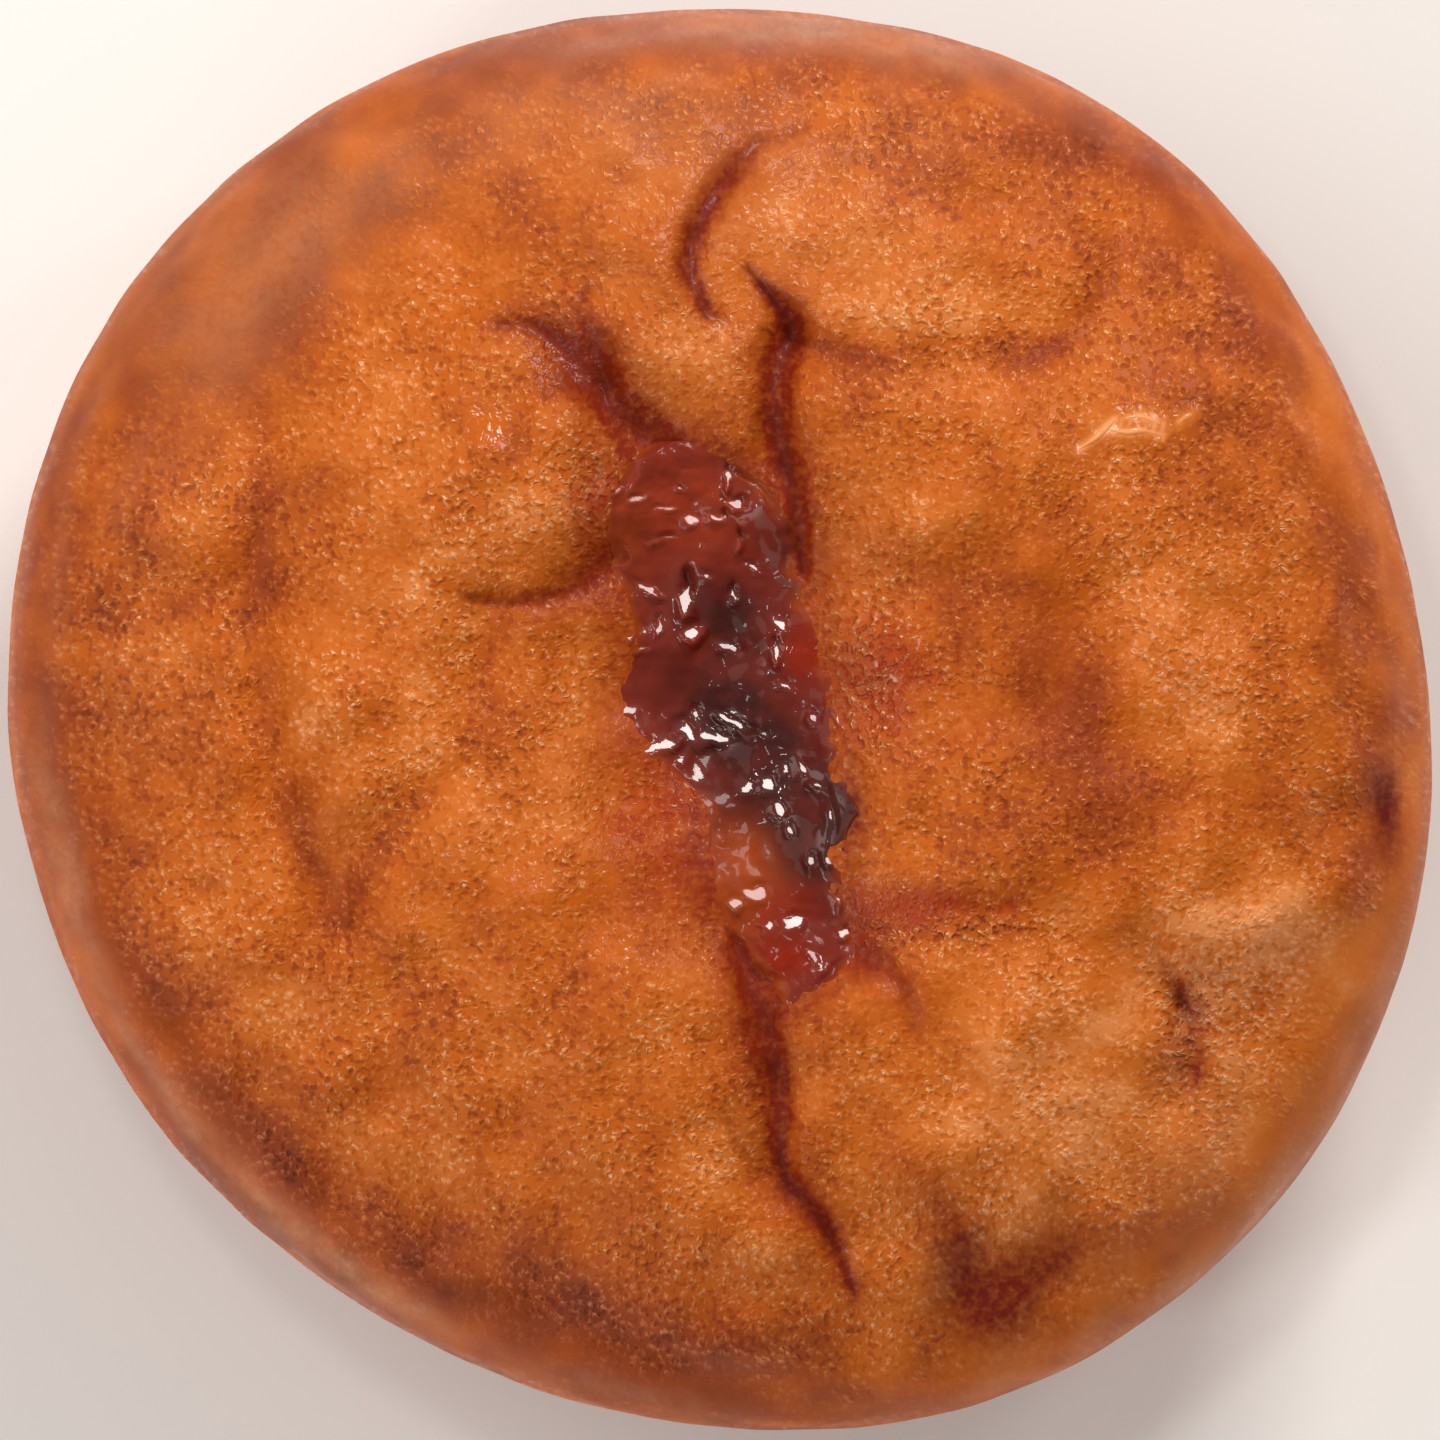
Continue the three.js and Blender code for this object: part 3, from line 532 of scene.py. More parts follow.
def closedMesh(rings):
    # Joins rings of points with four-sided faces and fans both end rings shut round their middles.
    count, around = rings.shape[:2]
    points = np.vstack([rings.reshape(-1, 3), rings[0].mean(0), rings[-1].mean(0)])
    j, k = np.meshgrid(np.arange(count - 1), np.arange(around), indexing="ij")
    a, b = (j * around + k).ravel(), (j * around + (k + 1) % around).ravel()
    quads = np.stack([a, a + around, b + around, b], 1)
    k = np.arange(around)
    following = (k + 1) % around
    first, last = count * around, count * around + 1
    offset = (count - 1) * around
    fans = np.vstack([np.stack([0 * k + first, k, following], 1),
                      np.stack([0 * k + last, offset + following, offset + k], 1)])
    return points, quads.tolist() + fans.tolist()


def addObject(name, data):
    # Puts a mesh, light or camera into the scene.
    made = bpy.data.objects.new(name, data)
    bpy.context.scene.collection.objects.link(made)
    return made


def addPiece(name, points, faces, marks, material, node):
    # Puts the points into a mesh in metres, with a value of each mark per point, and ties it to the frame.
    mesh = bpy.data.meshes.new(name)
    mesh.from_pydata((points * mm).tolist(), [], faces)
    mesh.polygons.foreach_set("use_smooth", np.ones(len(faces), bool))
    for markName, values in marks.items():
        mark = mesh.attributes.new(markName, "FLOAT", "POINT")
        mark.data.foreach_set("value", values.astype(np.float32))
    mesh.update()
    mesh.materials.append(material)
    piece = addObject(name, mesh)
    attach(piece, "root")
    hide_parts(node)


def addNode(tree, kind, values=None, out=0, stops=None, **settings):
    # Adds one shader node and gives back one of its outputs. Settings are its properties, values its
    # sockets, and a value that is itself a socket is linked.
    made = tree.nodes.new("ShaderNode" + kind)
    for name, value in settings.items():
        setattr(made, name, value)
    for name, value in (values or {}).items():
        if isinstance(value, bpy.types.NodeSocket):
            tree.links.new(value, made.inputs[name])
        else:
            made.inputs[name].default_value = value
    if stops:
        ramp = made.color_ramp.elements
        while len(ramp) < len(stops):
            ramp.new(0.5)
        for element, (place, colour) in zip(ramp, stops):
            element.position = place
            element.color = sRgb(colour)
    return made.outputs[out] if made.outputs else None


def newMaterial(name):
    # An empty material and its node tree.
    material = bpy.data.materials.new(name)
    material.use_nodes = True
    material.node_tree.nodes.clear()
    return material, material.node_tree


def tintOver(tree, colour, mark, patchy, look, tints):
    # Each mark's tint over the colour so far, as strong as the mark times the patchy noise, 1 at most.
    for name, tint in tints:
        share = addNode(tree, "Math", {0: mark[name], 1: patchy}, operation="MULTIPLY", use_clamp=True)
        colour = addNode(tree, "Mix", {0: share, 6: colour, 7: sRgb(look[tint])}, 2, data_type="RGBA")
    return colour


def crustMarksOf(points):
    # The marks that colour, roughen and oil the crust, worked out at each point from where it lies: sums
    # of ovals and of bells beside the valleys, folds and wrinkles, broken up by noise.
    x, y, z = points.T
    crown = ease((z - dough["equator"] + 2) / 7)
    mottle = layered(x, y, z, spots["mottle"])
    tone = spots["tone"] + mottle + crown * ovals(x, y, spots["tones"])
    # Painted shade along the middle of each valley.
    valleyShadeMask = np.zeros_like(x)
    wander = layered(x, y, z, spots["creaseWander"])
    for course, depth in dough["valleys"]:
        away, width = followCourse(x, y, course)
        valleyShadeMask = np.maximum(valleyShadeMask, depth * bell(away + wander, spots["creaseWidth"] * width))
    tone -= crown * spots["valleyShade"] * valleyShadeMask
    stain = brokenOvals(x, y, z, "stain")
    dark = np.zeros_like(x)
    wander = layered(x, y, z, foldMarks["wander"])
    for course, _, jamShare in folds.values():
        away, width = followCourse(x, y, course)
        away = away + wander
        inward = np.maximum(0, away / (foldMarks["coreWidth"] * width + foldMarks["coreMargin"]))
        core = np.exp(-inward ** foldShape["sharpness"])
        halo = bell(away, foldMarks["haloWidth"] * width)
        stain += foldMarks["core"] * jamShare * core + foldMarks["halo"] * jamShare * halo
        dark += foldMarks["dark"] * jamShare * bell(away, foldMarks["darkWidth"] * width)
        tone -= foldMarks["shade"] * bell(away, foldMarks["shadeWidth"] * width)
    kept = 1 - ovals(x, y, spots["clean"])
    lip = ease(1 + splitInside(x, y) / spots["splitRun"])
    stain = stain * kept + lip * spots["splitStain"]
    dark = dark * kept + ovals(x, y, spots["plum"])
    film, amber = brokenOvals(x, y, z, "film"), brokenOvals(x, y, z, "amber")
    stain, film, amber, dark = [np.clip(crown * share, 0, 1) for share in (stain, film, amber, dark)]
    glaze = np.zeros_like(x)
    for course in dough["wrinkles"][1]:
        glaze = np.maximum(glaze, bell(followCourse(x, y, course)[0], spots["glazeWidth"]))
    wet = np.maximum(np.clip(amber + crown * ovals(x, y, spots["oil"]), 0, 1), glaze)
    # The thin wrinkles get a painted highlight: their tone is raised where their oil is.
    tone += rimOvals(x, y, spots["rimTones"]) + spots["wrinkleHighlight"] * glaze ** 4
    # A pale colour painted where the crust would show a sheen: a painted reflection round the rim and on
    # smooth patches.
    haze = crown * (brokenOvals(x, y, z, "haze") + brokenOvals(x, y, z, "rimHaze", rimOvals))
    grit = gritAmount(x, y, z) * (1 - glaze) * (1 - spots["amberCalm"] * amber)
    grit = grit * (1 - spots["stainCalm"] * stain) * (1 - dark)
    oil = 0.04 + 0.7 * wet + rimOvals(x, y, spots["sheens"])
    amber = amber + crown * layered(x, y, z, spots["gold"])
    return {
        "tone": np.clip(tone, 0, 1), "stain": stain, "film": film, "amber": np.clip(amber, 0, 1),
        "dark": dark, "haze": np.clip(haze, 0, 1), "grit": grit, "oil": np.clip(oil, 0, 1) * (1 - dark),
        "roughness": spots["dryRoughness"] - spots["wetSmoother"] * wet,
        "side": 1 - ease((z - dough["equator"]) / skin["crownFade"]),
    }


# The jam, out to the split's edges over the crust, and the lumps of its wet face.
jam = {
    "rows": 300, "across": 110, "under": 12,
    # mm that the face lies below the uncut crust, shares of it where it is clear and dark, and its film
    "sink": 0.18, "clearSink": 0.4, "darkSink": 1.6, "lower": 0.05,
    "film": 0.12, "filmRun": 2, "meniscus": 2.4, "bridge": 1.4, "backing": 3.2,
    "edgeSink": 0.3, "edgeRise": 0.55, "edgeRun": 0.4,  # where the deep edge stands over the crust
    # noises: size in mm, amount, seed, of the left and right edge, and of x and y
    "ragged": [[(3, 0.5, 51), (1.3, 0.35, 53), (0.6, 0.2, 55)],
               [(3, 0.5, 52), (1.3, 0.35, 54), (0.6, 0.2, 56)]],
    "pulpBend": [[(1.5, 0.5, 61)], [(1.5, 0.5, 62)]],
    "facetBend": [[(0.9, 0.22, 65), (0.4, 0.12, 66)], [(0.9, 0.22, 67), (0.4, 0.12, 68)]],
    "thinRun": 1.3, "thinBroken": [(2.2, 0.8, 68)],  # how wide the thin edge is
    "pulpCell": 2.3, "pulpSeed": 63, "pulpHeight": 0.28,
    # unevenness: waves, shortest, longest, height
    "lumps": (16, 2.8, 6.5, 0.11), "wrinkles": (26, 0.8, 2.4, 0.03),
    # ridges of its skin: height for their width; courses of x, y, width
    "ridges": (0.3, [
        [(-1.8, 8.4, 0.8), (-2, 7, 1.2), (-1.9, 6.1, 1.2), (-1.7, 5, 1)],
        [(3.7, 5.6, 0.4), (3.6, 4.6, 0.5), (3.4, 3.7, 0.6), (3, 2.9, 0.4)],
        [(-1.3, 0.7, 0.4), (-1.2, -0.7, 0.8), (0.4, -1.2, 0.5)],
        [(-1.3, -0.8, 0.8), (-2.6, -1.3, 0.8), (-3.9, -1.9, 0.5)],
        [(-0.4, 0.15, 0.3), (0.6, -0.05, 0.5), (1.5, -0.3, 0.4)],
        [(1.5, -4.1, 0.4), (2.3, -3.7, 0.5), (3.3, -3.9, 0.6), (3.9, -2.8, 0.5), (4.5, -2.4, 0.4)],
        [(5, -3, 0.4), (5.6, -3.4, 0.5), (6.1, -4, 0.4)],
        [(3.3, -5, 0.5), (3.8, -5.6, 0.5), (4.2, -6.4, 0.4)],
        [(6.9, -4.9, 0.4), (6.4, -6, 0.4), (6.2, -7.4, 0.4)],
        [(-1.7, 11.8, 0.5), (-0.4, 11.9, 0.5), (0.9, 12.1, 0.5), (1.8, 12.5, 0.6)],
        [(0.5, 14.8, 0.4), (0.4, 13.9, 0.5), (0.5, 13.2, 0.4)],
        [(-4.4, 7.7, 0.4), (-4, 7.2, 0.4)],
        [(-3.6, 5.9, 0.4), (-3.9, 5.4, 0.4), (-3.7, 4.9, 0.4)],
        [(6.6, -10.1, 0.4), (6.9, -10.9, 0.4)],
        [(5.4, -13.4, 0.3), (5.9, -14.4, 0.3)],
    ]),
    # flat facets of its skin that lean to the top lamp: ovals with their gloss for the amount
    "facetLean": (-0.22, -0.51),
    "facets": [
        (-1.9, 7, 0.7, 2.2, 0.8), (-1.7, 5.1, 1, 0.9, 0.9), (0.74, 7.3, 0.35, 0.9, 0.9),
        (-0.7, 8.5, 0.5, 0.45, 0.6), (2, 8.9, 0.9, 0.35, 0.7, -35), (-4, 7.7, 1.2, 0.4, 0.6, -35),
        (-3.65, 5.4, 0.35, 1, 0.6), (-4.5, 4.1, 0.7, 0.35, 0.6), (-5.4, 4.9, 0.35, 0.7, 0.6),
        (3.6, 5.5, 0.55, 0.8, 1, 20), (3.4, 4, 0.5, 1.1, 0.9, -10), (3.9, 2, 0.9, 0.45, 0.9, -10),
        (0.5, 4.25, 1.1, 0.4, 0.7), (0.8, -0.15, 1.5, 0.4, 0.9, -20), (2.6, -0.9, 0.5, 0.3, 0.5),
        (-1.6, -0.8, 1.4, 1.1, 1, -20), (-0.2, -1, 1.4, 0.55, 0.9, -8), (-3.4, -1.6, 1.5, 0.6, 0.9, 18),
        (-1.4, 0.2, 0.6, 1, 0.8, 20), (-2.3, -2.1, 0.45, 0.9, 0.8, -20), (-5.7, 0.5, 1.1, 0.55, 0.7, -20),
        (-1.25, -3.2, 0.45, 0.75, 0.8), (1.8, -4, 1, 0.45, 0.9, 20), (3, -3.9, 0.8, 0.8, 1, 30),
        (3.9, -2.9, 0.55, 0.7, 0.9), (5.1, -2.9, 0.35, 0.8, 0.8, 30), (6.1, -4, 1, 0.4, 0.8, -15),
        (3.5, -5.4, 0.5, 0.8, 0.9), (4.2, -6.5, 0.45, 0.6, 0.8), (6.6, -5.3, 0.6, 0.8, 0.9),
        (5.6, -8.4, 0.5, 0.7, 0.7), (6.5, -8.3, 0.4, 0.7, 0.7), (6.9, -10.5, 0.3, 0.9, 0.7, 10),
        (2.1, -10.3, 1.1, 0.8, 0.5, 20), (1, -10.8, 0.6, 0.6, 0.5), (4.4, -12, 0.75, 0.7, 1),
        (2.9, -12.1, 0.7, 0.4, 0.8), (7.3, -12.5, 0.7, 0.5, 0.8, 20), (5.5, -13.8, 0.35, 0.8, 0.5, 20),
        (7, 0.2, 0.5, 0.8, 0.7), (5.6, 0, 0.5, 0.6, 0.6), (0.5, 14.3, 0.4, 1, 0.7),
        (0.9, 12.6, 1, 0.6, 0.6, 15), (-0.2, 11.9, 1.1, 0.4, 0.6, 5), (-1.5, 11.7, 0.9, 0.45, 0.6),
        (-3.1, 12.4, 0.9, 0.3, 0.4), (-4.7, 12.9, 0.8, 0.4, 0.4, 20), (-6.2, 13.4, 0.6, 0.5, 0.4),
        (-2.3, 13.6, 0.5, 0.3, 0.5), (-3.3, 10.6, 1, 0.25, 0.5, 15), (1.2, 10.6, 0.3, 0.8, 0.5),
    ],
    # ovals where it is dark, clear, veiled by pale film, and thin
    "dark": [(0.8, 6.4, 2.8, 2, 0.8, -30), (3.6, 11, 1.4, 4, 0.45, 15), (2, -1.8, 7, 3.2, 1.4, -58),
             (5.6, -6.8, 2.4, 3.2, 0.8), (7.8, -5.5, 1.2, 2.2, 0.8)],
    "clear": [(5.4, 4.2, 1.8, 1.8, 1), (3.4, -14, 2.2, 1.3, 1), (3.4, -11, 2.6, 1.2, 0.6, 10),
              (-1.6, 4.6, 1, 1.2, 0.6), (-3, -4.2, 1.1, 3, 0.4, 20)],
    "veil": [(-1.5, 12.4, 6, 3.6, 1), (3, -9.4, 3, 1.8, 0.4, -20), (-3.6, 6, 2, 3, 0.4, 10)],
    "plainGloss": 0.2, "dullShare": 0.6,
    # where the edge is as dark as the middle
    "deepEdge": [(7.3, -5.4, 1.8, 2.2, 1)],
    "thin": [(-3.6, -4.8, 1.3, 3.4, 0.9, 20), (0.9, -9, 2.2, 2.6, 1.2), (0.4, -12.4, 1.5, 1.5, 0.7),
             (-5.4, 11, 1.2, 2.5, 0.5)],
}


def jamSurface():
    # Sections across the split from the far end to the near one: over the wet face from left to right,
    # then back under it. The face blends from a film that lies on the crust to the lumpy jam inside, and
    # its facets are planes through their own mean height.
    turn = np.linspace(0, math.pi, jam["rows"])
    top, bottom = split["edges"][0][0], split["edges"][-1][0]
    half = (top - bottom) / 2
    y = bottom + half + half * np.cos(turn)
    ends = np.minimum(1, np.sin(turn) * 3)
    left, right = [edge + ends * layered(y, 0 * y, 0 * y, layers)
                   for edge, layers in zip(splitEdges(y), jam["ragged"])]
    middle, reach = (left + right) / 2, (right - left) / 2 * np.sqrt(np.sin(turn)) ** 0.5
    t = np.sin(np.linspace(-math.pi / 2, math.pi / 2, jam["across"]))
    x = middle[:, None] + reach[:, None] * t[None, :]
    y = np.broadcast_to(y[:, None], x.shape).copy()
    fromEdge = np.minimum(reach[:, None] * (1 - np.abs(t))[None, :], (half * np.sin(turn))[:, None] + 0.02)
    crust = crustHeight(x, y)
    uncut = crustHeight(x, y, cut=False)
    zero = np.zeros_like(x)

    # Lumps of pulp, fine wrinkles and named ridges; ridges and clear spots are calmer.
    bent = [layered(x, y, zero, layers, c) for c, layers in zip((x, y), jam["pulpBend"])]
    away, luck = nearestSeeds(*bent, zero, jam["pulpCell"], jam["pulpSeed"])
    pulp = (1 - away ** 2) * (0.3 + 0.5 * luck)
    wrinkle = unevenness(x, y, zero, *jam["wrinkles"])
    rough = unevenness(x, y, zero, *jam["lumps"]) + pulp * jam["pulpHeight"] + wrinkle
    ridge = np.zeros_like(x)
    calm = np.zeros_like(x)
    for course in jam["ridges"][1]:
        away, width = followCourse(x, y, course, 8)
        ridge = np.maximum(ridge, jam["ridges"][0] * width * bell(away, width / 2))
        calm = np.maximum(calm, bell(away, width))
    marks = {name: np.clip(ovals(x, y, jam[name]), 0, 1) for name in ("dark", "clear", "deepEdge")}
    flat = np.maximum(calm, marks["clear"])
    sink = jam["sink"] * (jam["clearSink"] + jam["darkSink"] * marks["dark"])
    core = uncut - sink - jam["lower"] + rough * (1 - 0.8 * flat)
    inward = np.clip(fromEdge / jam["filmRun"], 0, 1)
    level = crust + (uncut - crust) * ease(fromEdge / jam["bridge"])
    film = level + jam["film"] * ease(inward) - jam["lower"]
    film = film + np.sqrt(inward) * wrinkle
    blend = ease((fromEdge - 0.3) / jam["meniscus"])
    floor = crust + 0.08 * ease((fromEdge - 1.5) / 1.5) - 0.25
    face = np.maximum(film * (1 - blend) + core * blend, floor)
    face = face + ridge * ease(fromEdge / 0.6)
    dull = np.clip(ovals(x, y, jam["thin"]) + ovals(x, y, jam["clear"]), 0, 1)
    gloss = (jam["plainGloss"] + (1 - jam["plainGloss"]) * ease(2 * calm)) * (1 - jam["dullShare"] * dull)
    warped = [layered(x, y, zero, layers, c) for c, layers in zip((x, y), jam["facetBend"])]
    for px, py, long, wide, shine, *slant in jam["facets"]:
        within = np.exp(-(1.3 * ovalReach(*warped, px, py, long, wide, *slant)) ** 3)
        mean = (face * within).sum() / max(within.sum(), 1e-9)
        plane = mean + jam["facetLean"][0] * (x - px) + jam["facetLean"][1] * (y - py)
        face = face + (plane - face) * within
        gloss = gloss + (shine - gloss) * within

    # The edge runs out under the crust, but its deep stretch stands a little over it.
    over = jam["edgeRise"] * marks["deepEdge"] * ease(fromEdge / jam["edgeRun"])
    face = np.maximum(face, crust - jam["edgeSink"] + over)
    ceiling = crust + 2 * fromEdge + 0.3 * (uncut - crust)
    face = np.where(fromEdge < 0.03, crust - 0.25, np.minimum(face, ceiling))
    back = np.linspace(1, -1, jam["under"] + 2)[1:-1]
    backX = middle[:, None] + reach[:, None] * back[None, :] * 0.96
    backY = np.broadcast_to(y[:, :1], backX.shape)
    columns = np.round(np.interp(back, t, np.arange(len(t)))).astype(int)
    deeper = jam["backing"] * (1 - back ** 2)[None, :] * np.sin(turn)[:, None]
    backZ = crust[:, columns] - 0.5 - deeper
    rings = np.concatenate([np.stack([x, y, face], -1), np.stack([backX, backY, backZ], -1)], 1)
    return rings, np.concatenate([fromEdge, 0 * backX], 1), np.concatenate([gloss, 0 * backX], 1)


def jamMarksOf(points, fromEdge, gloss):
    # How thin, dark, clear and veiled the jam is at each point, from its ovals and its thin edge, and how
    # glossy: on its ridges and facets most.
    x, y, z = points.T
    marks = {name: np.clip(ovals(x, y, jam[name]), 0, 1) for name in ("dark", "clear", "veil", "thin")}
    edge = 1 - ease(fromEdge / layered(x, y, 0 * z, jam["thinBroken"], jam["thinRun"]))
    edge = edge * (1 - np.clip(ovals(x, y, jam["deepEdge"]), 0, 1))
    marks["thin"] = np.maximum(marks["thin"], edge)
    marks["wet"] = gloss
    return marks


def friedCrust():
    # Deep-fried dough crust: orange brown and finely blistered, dull where it is dry and glossy where frying
    # oil stands on it. Pale tips, partly real grain and partly a painted glint, and dark pits give the eye a
    # grain about half a millimetre wide.
    look = {
        "pit": "#6a260a", "brown": "#9a4215", "orange": "#bf5d15", "golden": "#d0712a", "tipAndGlint": "#f4a062",
        "jamStain": "#84260c", "jamFilm": "#a4380a", "amber": "#ca6004", "jamDark": "#641a10",
        # the pale colour of the painted sheen
        "haze": "#cc9068",
        "beads": 0.50, "grain": 0.55, "bubbles": 0.9, "bend": (0.9, -0.5, 0),  # mm
        "pitShare": 0.5,  # how deep the pits are for the height of the tips
        "relief": 0.12,  # mm from the crust's own level to the highest tip
        "contrast": 0.38,  # how much lighter that tip is, partly a painted glint
        "beadOil": 1.0,  # how oily the highest tip is
        "bubbleHeight": 0.8,
        "specular": 0.12, "ior": 1.45, "oilRoughness": 0.15, "oilIor": 1.47,
    }
    material, tree = newMaterial("friedDoughCrust")
    place = addNode(tree, "TexCoord", out="Object")
    names = ("tone", "stain", "film", "amber", "dark", "haze", "grit", "oil", "roughness", "side")
    mark = {name: addNode(tree, "Attribute", out="Fac", attribute_name=name) for name in names}

    # Beads of many heights, bent out of round, stand on a finely pitted crust and carry its oil.
    # Both patterns lie flat, as seen from above, so on the steep sides solid bubbles take their place.
    grain = addNode(tree, "TexNoise", {
        "Vector": place, "Scale": 1 / (look["grain"] * mm), "Detail": 1.0, "Roughness": 0.7,
    }, "Fac", noise_dimensions="2D")
    bend = addNode(tree, "VectorMath", {
        0: grain, 1: [amount * mm for amount in look["bend"]], 2: place,
    }, operation="MULTIPLY_ADD")
    beads = addNode(tree, "TexVoronoi", {
        "Vector": bend, "Scale": 1 / (look["beads"] * mm),
    }, "Distance", voronoi_dimensions="2D")
    beads = addNode(tree, "MapRange", {
        "Value": beads, "From Min": 0.55, "From Max": 0.05,
    }, interpolation_type="SMOOTHSTEP")
    taller = addNode(tree, "MapRange", {"Value": grain, "From Min": 0.35, "From Max": 0.68})
    tips = addNode(tree, "Math", {0: beads, 1: taller}, operation="MULTIPLY")
    pits = addNode(tree, "MapRange", {
        "Value": grain, "From Min": 0.50, "From Max": 0.20, "To Max": look["pitShare"],
    }, interpolation_type="SMOOTHSTEP")
    height = addNode(tree, "Math", {0: tips, 1: pits}, operation="SUBTRACT")
    bubbles = addNode(tree, "TexNoise", {
        "Vector": place, "Scale": 1 / (look["bubbles"] * mm), "Detail": 1.0, "Roughness": 0.7,
    }, "Fac")
    bubbles = addNode(tree, "MapRange", {
        "Value": bubbles, "From Min": 0.3, "From Max": 0.7,
        "To Min": -look["bubbleHeight"], "To Max": look["bubbleHeight"],
    })
    height = addNode(tree, "Mix", {0: mark["side"], 2: height, 3: bubbles}, 0)
    bump = addNode(tree, "Bump", {
        "Strength": mark["grit"], "Distance": look["relief"] * mm, "Height": height,
    })
    lighter = addNode(tree, "Math", {0: height, 1: look["contrast"]}, operation="MULTIPLY")
    tone = addNode(tree, "Math", {0: lighter, 1: mark["grit"], 2: mark["tone"]}, operation="MULTIPLY_ADD")
    # The lightest stop, at the tips, is partly a painted glint.
    stops = [(0.05, "pit"), (0.32, "brown"), (0.54, "orange"), (0.72, "golden"), (1.0, "tipAndGlint")]
    colour = addNode(tree, "ValToRGB", {"Fac": tone}, stops=[(at, look[name]) for at, name in stops])

    # Jam and oil have stained it in patches that break up along the grain.
    patchy = addNode(tree, "MapRange", {
        "Value": grain, "From Min": 0.3, "From Max": 0.7, "To Min": 1.2, "To Max": 0.7,
    })
    # The painted sheen is laid over the colour like the other tints.
    colour = tintOver(tree, colour, mark, patchy, look, [
        ("haze", "haze"), ("amber", "amber"), ("film", "jamFilm"), ("stain", "jamStain"), ("dark", "jamDark"),
    ])
    oily = addNode(tree, "Math", {0: tips, 1: mark["grit"]}, operation="MULTIPLY", use_clamp=True)
    oil = addNode(tree, "Math", {
        0: oily, 1: look["beadOil"], 2: mark["oil"],
    }, operation="MULTIPLY_ADD", use_clamp=True)
    shader = addNode(tree, "BsdfPrincipled", {
        "Base Color": colour, "Roughness": mark["roughness"], "IOR": look["ior"], "Normal": bump,
        "Specular IOR Level": look["specular"],
        "Coat Weight": oil, "Coat Roughness": look["oilRoughness"], "Coat IOR": look["oilIor"],
        "Coat Normal": bump,
    })
    addNode(tree, "OutputMaterial", {"Surface": shader})
    return material


def redJam():
    # Boiled fruit jam, a sugar gel of IOR 1.45: a mirror-smooth wet skin over a body that is clear red
    # where it is thin and nearly black where it is deep, which gives sharp white glints on dark red.
    look = {
        "thin": "#9c4010", "body": "#76261b", "deep": "#431a16", "clear": "#8c2003", "veil": "#8e3018",
        "cloud": 2.0, "ripple": 0.8,  # mm
        "roughness": 0.4, "specular": 0.1, "ior": 1.45, "skinRoughness": 0.05, "skinIor": 1.47,
        "rippleHeight": 0.05,  # mm
    }
    material, tree = newMaterial("redFruitJam")
    place = addNode(tree, "TexCoord", out="Object")
    names = ("thin", "dark", "clear", "veil", "wet")
    mark = {name: addNode(tree, "Attribute", out="Fac", attribute_name=name) for name in names}
    cloud = addNode(tree, "TexNoise", {
        "Vector": place, "Scale": 1 / (look["cloud"] * mm), "Detail": 3.0, "Roughness": 0.6,
    }, "Fac")
    ripple = addNode(tree, "TexNoise", {
        "Vector": place, "Scale": 1 / (look["ripple"] * mm), "Detail": 1.0,
    }, "Fac")
    patchy = addNode(tree, "MapRange", {
        "Value": cloud, "From Min": 0.3, "From Max": 0.7, "To Min": 0.6, "To Max": 1.3,
    })
    colour = tintOver(tree, sRgb(look["body"]), mark, patchy, look, [
        ("veil", "veil"), ("dark", "deep"), ("clear", "clear"), ("thin", "thin"),
    ])
    bump = addNode(tree, "Bump", {"Strength": 1.0, "Distance": look["rippleHeight"] * mm, "Height": ripple})
    shader = addNode(tree, "BsdfPrincipled", {
        "Base Color": colour, "Roughness": look["roughness"], "IOR": look["ior"], "Normal": bump,
        "Specular IOR Level": look["specular"],
        "Coat Weight": mark["wet"], "Coat Roughness": look["skinRoughness"], "Coat IOR": look["skinIor"],
        "Coat Normal": bump,
    })
    addNode(tree, "OutputMaterial", {"Surface": shader})
    return material


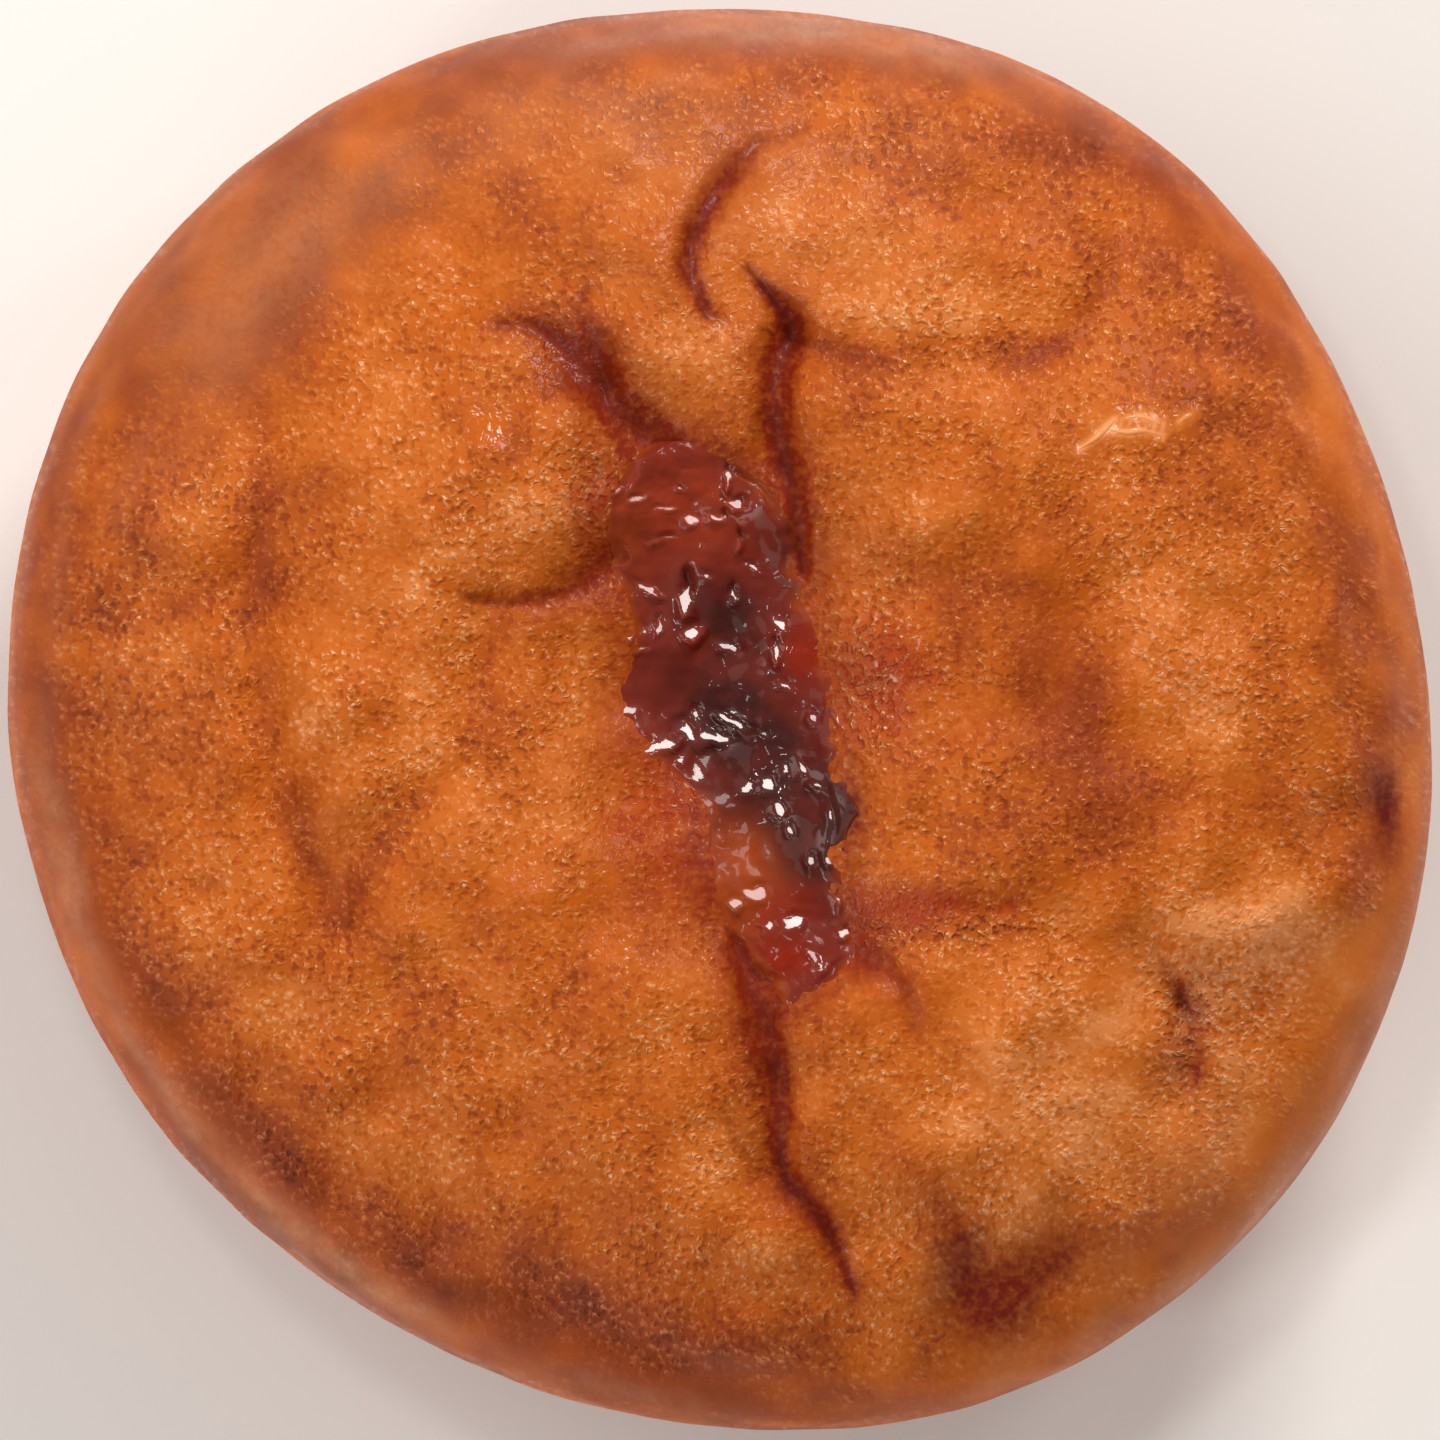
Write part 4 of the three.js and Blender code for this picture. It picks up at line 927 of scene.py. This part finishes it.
def paperFloor():
    # Matt white paper, bright and even.
    material, tree = newMaterial("mattPaper")
    shader = addNode(tree, "BsdfDiffuse", {"Color": sRgb("#f6f5f2")})
    addNode(tree, "OutputMaterial", {"Surface": shader})
    return material


def setStage():
    # The floor, the room's even light, the lamps, which all point at the doughnut, and the camera.
    mesh = bpy.data.meshes.new("floor")
    half = room["floor"] / 2 * mm
    corners = [(-half, -half, 0), (half, -half, 0), (half, half, 0), (-half, half, 0)]
    mesh.from_pydata(corners, [], [(0, 1, 2, 3)])
    mesh.materials.append(paperFloor())
    addObject("floor", mesh)
    world = bpy.data.worlds.new("studioRoom")
    world.use_nodes = True
    background = world.node_tree.nodes["Background"]
    background.inputs["Color"].default_value = sRgb(room["colour"])
    background.inputs["Strength"].default_value = room["strength"]
    scene = bpy.context.scene
    scene.world = world
    for name, setting in lamps.items():
        light = bpy.data.lights.new(name, "AREA")
        light.energy = setting["power"]
        light.size = setting["size"] * mm
        light.color = sRgb(setting["colour"])[:3]
        lamp = addObject(name, light)
        x, y, z = setting["at"]
        lamp.location = (x * mm, y * mm, z * mm)
        flat = math.hypot(x, y)
        lamp.rotation_euler = (math.atan2(flat, z - dough["equator"]), 0, math.atan2(x, -y))
    view = bpy.data.cameras.new("overhead")
    view.sensor_width = camera["sensor"]
    view.lens = camera["sensor"] * (camera["height"] - camera["rimLevel"]) / camera["frameWidth"]
    view.clip_start = 0.01
    eye = addObject("overhead", view)
    eye.location = (camera["aim"][0] * mm, camera["aim"][1] * mm, camera["height"] * mm)
    scene.camera = eye
    scene.view_settings.view_transform = "Standard"


setStage()
print("stage set")

points, faces = closedMesh(doughSurface())
for strip in wrinkleStrips():
    stripPoints, stripFaces = closedMesh(strip)
    faces += [[corner + len(points) for corner in face] for face in stripFaces]
    points = np.vstack([points, stripPoints])
addPiece("friedDough", points, faces, crustMarksOf(points), friedCrust(), "dough")
print("dough made:", len(points), "points")

rings, fromEdge, gloss = jamSurface()
points, faces = closedMesh(rings)
marks = jamMarksOf(points, *[np.append(share.ravel(), [0, 0]) for share in (fromEdge, gloss)])
addPiece("jamFilling", points, faces, marks, redJam(), "jam")
print("jam made:", len(points), "points")
